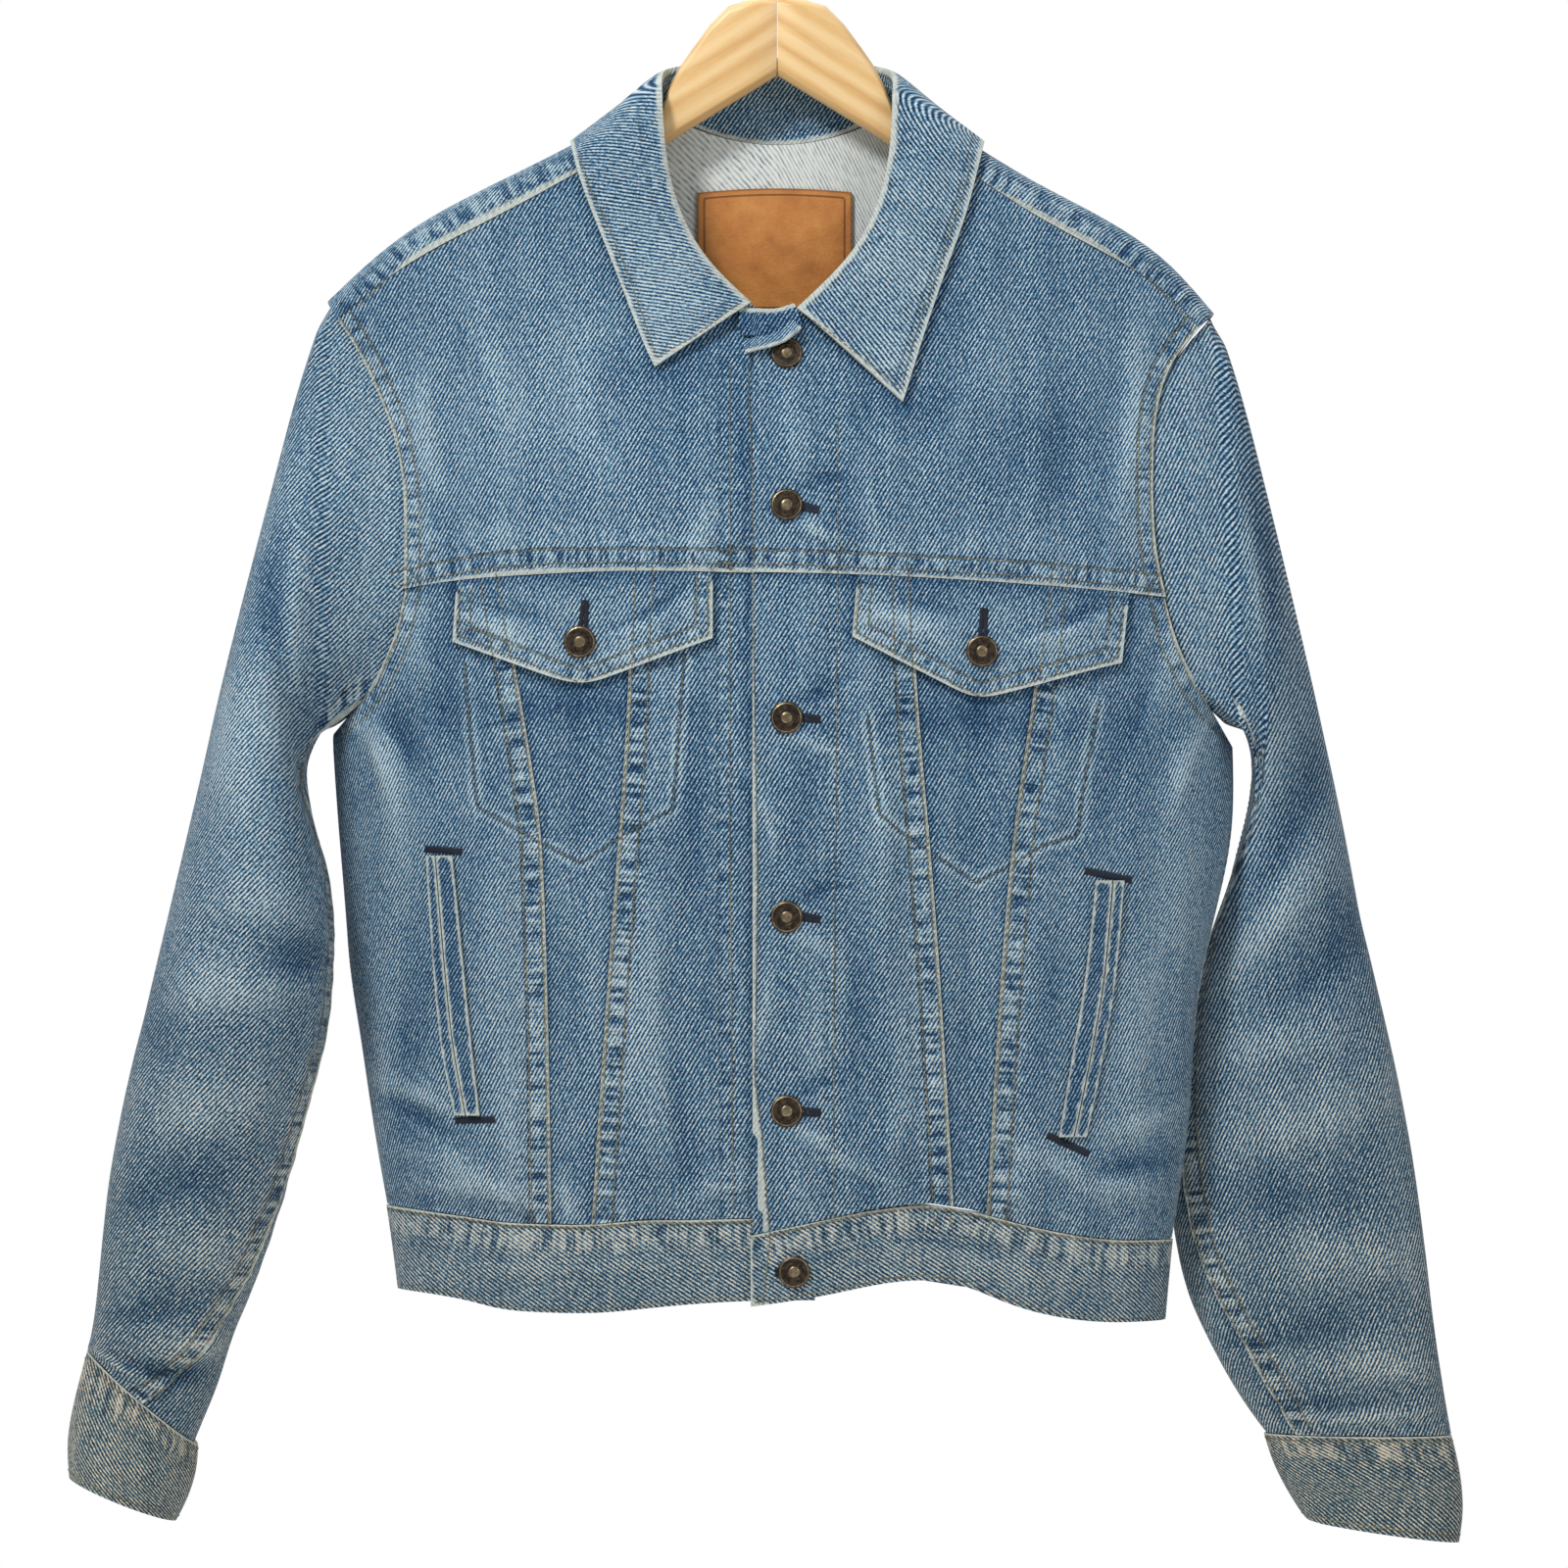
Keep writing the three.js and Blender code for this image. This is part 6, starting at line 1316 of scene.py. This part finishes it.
frontRows = []
for offset in (4.0, 11.3):
    frontRows.append((line("yoke", offset), -1, pitch, stitch))
for name, sign in (("a", -1), ("b", 1), ("c", -1), ("d", 1)):
    for offset in (1.8, 10.7):
        frontRows.append((line(name, offset * sign), -1, pitch, stitch))
for name, sign in (("armRight", 1), ("armLeft", -1)):
    for offset in (1.8, 8.3):
        frontRows.append((line(name, offset * sign), -1, pitch, stitch))
for name, sign in (("shoulderRight", -1), ("shoulderLeft", 1)):
    for offset in (1.8, 10.3):
        frontRows.append((line(name, offset * sign), -1, pitch, stitch))
for name in ("topstitch", "underBand"):
    frontRows.append((line(name), -1, pitch, stitch))
frontRows.append((line("placket", 2.4), -1, pitch, stitch))
for side in ("Right", "Left"):
    frontRows.append((line("band" + side, -1.8), -1, pitch, stitch))
    frontRows.append((line("hem" + side, 2.0), -1, pitch, stitch))
    frontRows.append((line("bag" + side), -1, pitch, stitch))
    for away in (2.4, 8.4):
        frontRows.append((inset(seamLines["flap" + side], away), -1, pitch, stitch))
oliveThread = threadMaterial("oliveThread", (0.19, 0.155, 0.07), (0.29, 0.25, 0.13))
layStitches(frontRows, "front_thread", oliveThread)

backRows = [(line("backYoke", 4), 1, pitch, stitch), (line("backYoke", 11.5), 1, pitch, stitch),
            (line("backBand", -1.8), 1, pitch, stitch), (line("backHem", 2), 1, pitch, stitch)]
for name, sign in (("backRight", -1), ("backLeft", 1), ("backArmRight", 1), ("backArmLeft", -1)):
    for offset in (1.6, 10.0):
        backRows.append((line(name, offset * sign), 1, pitch, stitch))
layStitches(backRows, "back_thread", oliveThread)


def alongSleeve(side, degreesAt, offset, ts):
    rows = np.array(sleeveSections[side], dtype=float)
    own = np.linspace(0, 1, len(rows))
    out = []
    for t in ts:
        outX, outZ, inX, inZ, middle, half = (np.interp(t, own, rows[:, k]) for k in range(6))
        reach = math.hypot(outX - inX, outZ - inZ) / 2
        rad = math.radians(degreesAt(t))
        step = math.hypot(reach * math.sin(rad), half * math.cos(rad))
        rad -= offset / max(step, 12)
        along = math.cos(rad)
        out.append(((outX + inX) / 2 + (outX - inX) / 2 * along, middle - half * math.sin(rad),
                    (outZ + inZ) / 2 + (outZ - inZ) / 2 * along))
    return np.array(out)


def aroundBand(sections, t, degrees):
    rows = np.array(sections, dtype=float)
    own = np.linspace(0, 1, len(rows))
    outX, outZ, inX, inZ, middle, half = (np.interp(t, own, rows[:, k]) for k in range(6))
    rad = np.radians(degrees)
    return np.column_stack([(outX + inX) / 2 + (outX - inX) / 2 * np.cos(rad), middle - half * np.sin(rad),
                            (outZ + inZ) / 2 + (outZ - inZ) / 2 * np.cos(rad)])


def nearestSpots(curve, tree, pitch, length, closed=False):
    curve = np.array(curve)
    if closed:
        curve = np.vstack([curve, curve[:1]])
    lengths = np.concatenate([[0], np.cumsum(np.linalg.norm(np.diff(curve, axis=0), axis=1))])
    count = int(lengths[-1] / pitch)
    places = np.column_stack([np.interp((np.arange(count) + 0.5) * lengths[-1] / count, lengths, curve[:, k])
                              for k in range(3)])
    spots = []
    for k, place in enumerate(places):
        hit, normal, _, gap = tree.find_nearest(Vector(place * mm))
        before, after = places[max(k - 1, 0)], places[min(k + 1, count - 1)]
        along = Vector(after - before).normalized()
        along = (along - normal * along.dot(normal)).normalized()
        if gap < 0.008:
            spots.append((hit, normal, along, length))
    return spots


sleeveSpots = []
sleeveShares = np.linspace(0.05, 0.985, 60)
for side in ("right", "left"):
    seams = sleeveSeams[side]
    topTree = treeOf(["sleeve_top_" + side])
    for offset in (1.8, 10.3):
        for column, way in ((1, 1), (2, -1)):
            curve = alongSleeve(side, lambda t: float(np.interp(t, seams[:, 0], seams[:, column])), offset * way, sleeveShares)
            sleeveSpots += nearestSpots(curve, topTree, pitch, stitch)
    cuffTree = treeOf(["cuff_" + side])
    for t in (0.06, 0.93):
        ring = aroundBand(cuffSections[side], t, np.arange(0, 360, 6))
        sleeveSpots += nearestSpots(ring, cuffTree, pitch, stitch, closed=True)
gatherStitches(sleeveSpots, "sleeve_thread", oliveThread, stitchLook["wide"])

collarRows = [(inset(seamLines["collarRight"], 3.4), -1, pitch, stitch), (inset(seamLines["collarLeft"], -3.4), -1, pitch, stitch)]
layStitches(collarRows, "collar_thread", oliveThread)


# Buttonholes and bar tacks in dark thread.
navyThread = threadMaterial("navyThread", (0.006, 0.01, 0.022), (0.014, 0.022, 0.045))


def whipped(a, b, reach, pitch, face=-1):  # threads side by side across the run from a to b
    a, b = np.array(a, dtype=float), np.array(b, dtype=float)
    step = (b - a) / np.hypot(*(b - a))
    across = np.array([-step[1], step[0]])
    rows = []
    for k in np.arange(0, np.hypot(*(b - a)), pitch):
        own = reach * (1 + 0.14 * math.sin(k * 5.3 + a[0]))
        middle = a + step * k + across * 0.2 * math.sin(k * 3.1)
        rows.append(([middle - across * own, middle + across * own], face, own * 2.1))
    return rows


def layBars(rows, name, wide):
    spots = []
    for (start, end), face, length in rows:
        middle = (np.array(start) + np.array(end)) / 2
        hit, normal = project(middle[0], middle[1], face)
        ahead, _ = project(end[0], end[1], face)
        if hit is None or ahead is None:
            continue
        along = Vector(((end[0] - start[0]), 0, (end[1] - start[1]))).normalized()
        along = (along - normal * along.dot(normal)).normalized()
        spots.append((hit, normal, along, length))
    return gatherStitches(spots, name, navyThread, wide)


buttonholes = [((12.5, -339), (22.5, -341.5)), ((13, -451), (23, -452)), ((13, -556), (23, -557.5)), ((13, -659), (23, -660)),
               ((-1, -744.5), (6, -744)), ((-102.5, -403), (-101.5, -389)), ((108.5, -408), (109.5, -393))]
holeRows = []
for a, b in buttonholes:
    a, b = np.array(a, dtype=float), np.array(b, dtype=float)
    step = (b - a) / np.hypot(*(b - a))
    across = np.array([-step[1], step[0]])
    for way in (1, -1):
        holeRows += whipped(a + across * 1.4 * way, b + across * 0.9 * way, 1.4, 0.45)
layBars(holeRows, "buttonhole_thread", 0.4)

tacks = [((-187, -520.5), (-167, -522)), ((-171, -665), (-150, -664)), ((163, -532), (188, -537)), ((143, -672), (165, -682))]
tackRows = []
for a, b in tacks:
    a, b = np.array(a, dtype=float), np.array(b, dtype=float)
    tackRows += whipped(a, b, 2.3, 0.6)
layBars(tackRows, "pocket_tack_thread", 0.46)
print("sewing made")


# Floor, light and camera.
stageLook = {"floorHeight": -1.15, "floorSize": 3.0, "key": 62.0, "fill": 10.0, "top": 14.0, "ambient": 0.42}


def plainStage():
    bpy.ops.object.select_all(action="DESELECT")
    bpy.ops.mesh.primitive_plane_add(size=stageLook["floorSize"], location=(0, 0, stageLook["floorHeight"]))
    floor = bpy.context.object
    floor.name = "paleFloor"
    bpy.ops.object.transform_apply(location=True, rotation=True, scale=True)
    material, tree, surface = newMaterial("palePaint")
    surface.inputs["Base Color"].default_value = (0.85, 0.85, 0.84, 1)
    surface.inputs["Roughness"].default_value = 0.7
    floor.data.materials.append(material)


def areaLight(name, place, size, power, target=(0, 0, -0.48)):
    data = bpy.data.lights.new(name, "AREA")
    data.shape = "DISK"
    data.size = size
    data.energy = power
    light = bpy.data.objects.new(name, data)
    bpy.context.collection.objects.link(light)
    light.location = place
    light.rotation_euler = (Vector(target) - Vector(place)).to_track_quat("-Z", "Y").to_euler()


plainStage()
areaLight("keyLight", (-1.3, -1.7, 1.7), 0.6, stageLook["key"])
areaLight("fillLight", (1.9, -2.2, 0.2), 1.6, stageLook["fill"])
areaLight("topLight", (0.2, 0.9, 1.5), 1.4, stageLook["top"])

world = bpy.data.worlds.new("studio")
bpy.context.scene.world = world
world.use_nodes = True
background = world.node_tree.nodes["Background"]
background.inputs["Color"].default_value = (1, 1, 1, 1)
seen = world.node_tree.nodes.new("ShaderNodeLightPath")  # the paper behind the jacket is white, the light from it softer
world.node_tree.links.new(calc(world.node_tree, "MULTIPLY_ADD", seen.outputs["Is Camera Ray"], 1 - stageLook["ambient"],
                               stageLook["ambient"]), background.inputs["Strength"])

cameraLook = {"place": (0.0036, -4.035, -0.486), "lens": 173.1}
cameraData = bpy.data.cameras.new("photoCamera")
cameraData.lens = cameraLook["lens"]
cameraData.sensor_width = 36
camera = bpy.data.objects.new("photoCamera", cameraData)
bpy.context.collection.objects.link(camera)
camera.location = cameraLook["place"]
camera.rotation_euler = (math.radians(90), 0, 0)
bpy.context.scene.camera = camera
bpy.context.scene.view_settings.view_transform = "Standard"
bpy.context.scene.view_settings.look = "None"

print("scene made")
